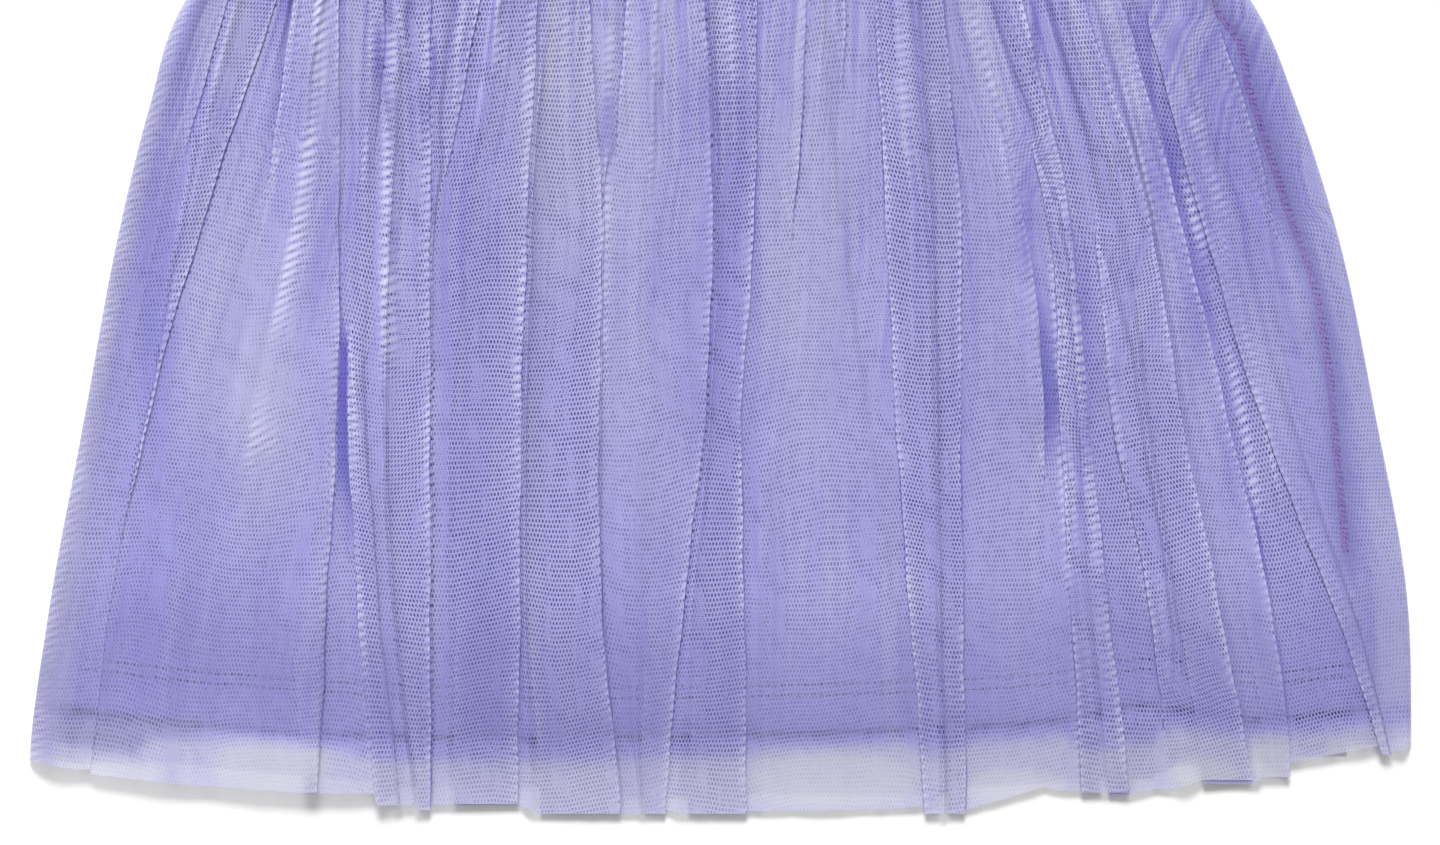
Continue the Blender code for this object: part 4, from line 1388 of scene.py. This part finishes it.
def floor_and_lights():
    bpy.ops.mesh.primitive_plane_add(size=60.0, location=(0, 0, -0.0002))
    floor = bpy.context.object
    floor.name = "floor"
    material, _, shader = new_material("white_surface", *FLOOR_SURFACE)
    shader.inputs["Base Color"].default_value = (WHITE_SURFACE, WHITE_SURFACE, WHITE_SURFACE, 1.0)
    floor.data.materials.append(material)

    key = bpy.data.lights.new("key", "SUN")
    key.energy = KEY_STRENGTH
    key.angle = math.radians(KEY_SIZE)
    place_lamp("key", key, KEY_TURN, KEY_ELEVATION, KEY_DISTANCE)

    fill = bpy.data.lights.new("left_fill", "AREA")
    fill.shape = "RECTANGLE"
    fill.size, fill.size_y, fill.energy = FILL[:3]
    place_lamp("left_fill", fill, *FILL[3:])

    world = bpy.data.worlds.new("studio")
    world.use_nodes = True
    tree = world.node_tree
    sky = tree.nodes["Background"]
    sky.inputs["Color"].default_value = (1.0, 1.0, 1.0, 1.0)
    direction = Value(tree, tree.nodes.new("ShaderNodeTexCoord").outputs["Generated"])
    height = direction.parts()[2]
    strength = height.map(HORIZON_HEIGHT / 2, HORIZON_HEIGHT, SKY_HORIZON, SKY_OVERHEAD, "SMOOTHSTEP")
    tree.links.new(strength.socket, sky.inputs["Strength"])
    bpy.context.scene.world = world
    bpy.context.scene.view_settings.view_transform = "Standard"


def camera():
    data = bpy.data.cameras.new("camera")
    view_width = PHOTO_WIDTH * PIXEL
    view_height = PHOTO_HEIGHT * PIXEL
    data.sensor_width = SENSOR
    data.lens = SENSOR * CAMERA_HEIGHT / view_width
    data.clip_end = 50.0
    eye = bpy.data.objects.new("camera", data)
    centre_y = WAIST_Y - PHOTO_TOP_BELOW_WAIST - view_height / 2
    eye.location = (0.0, centre_y * MM, CAMERA_HEIGHT * MM)
    bpy.context.scene.collection.objects.link(eye)
    bpy.context.scene.camera = eye


camera()
floor_and_lights()

front_net = net_material("net_front", *FRONT_NET_COLOURS)
back_net = net_material("net_back", *BACK_NET_COLOURS)
lining_knit = jersey_material("lining_knit", *LINING_COLOURS)
bodice_knit = jersey_material("bodice_knit", *BODICE_COLOURS)
hem_thread = thread_material("hem_thread", *HEM_THREAD_COLOURS)
seam_thread = thread_material("seam_thread", *SEAM_THREAD_COLOURS)
bodice_thread = thread_material("bodice_thread", *BODICE_THREAD_COLOURS)

skirt_back(back_net)
lining_skirt(
    "lining_back_jersey", LINING_BACK_HEM, LINING_BACK_Z, lining_knit, "lining_back", SEED + 2,
    lambda x, below: np.zeros(np.broadcast(x, below).shape),
)
lining_skirt(
    "lining_front_jersey", LINING_FRONT_HEM, LINING_FRONT_Z, lining_knit, "lining_front", SEED + 3,
    lining_hang,
)
lining_hem_stitches(hem_thread)
side_seam_threads(seam_thread)
skirt_front(front_net)
bodice_panel("bodice_back_jersey", BACK_NECK_DEPTH, False, bodice_knit, "bodice_back", SEED + 8)
bodice_panel("bodice_front_jersey", FRONT_NECK_DEPTH, True, bodice_knit, "bodice_front", SEED + 7)
bodice_stitches(bodice_thread)
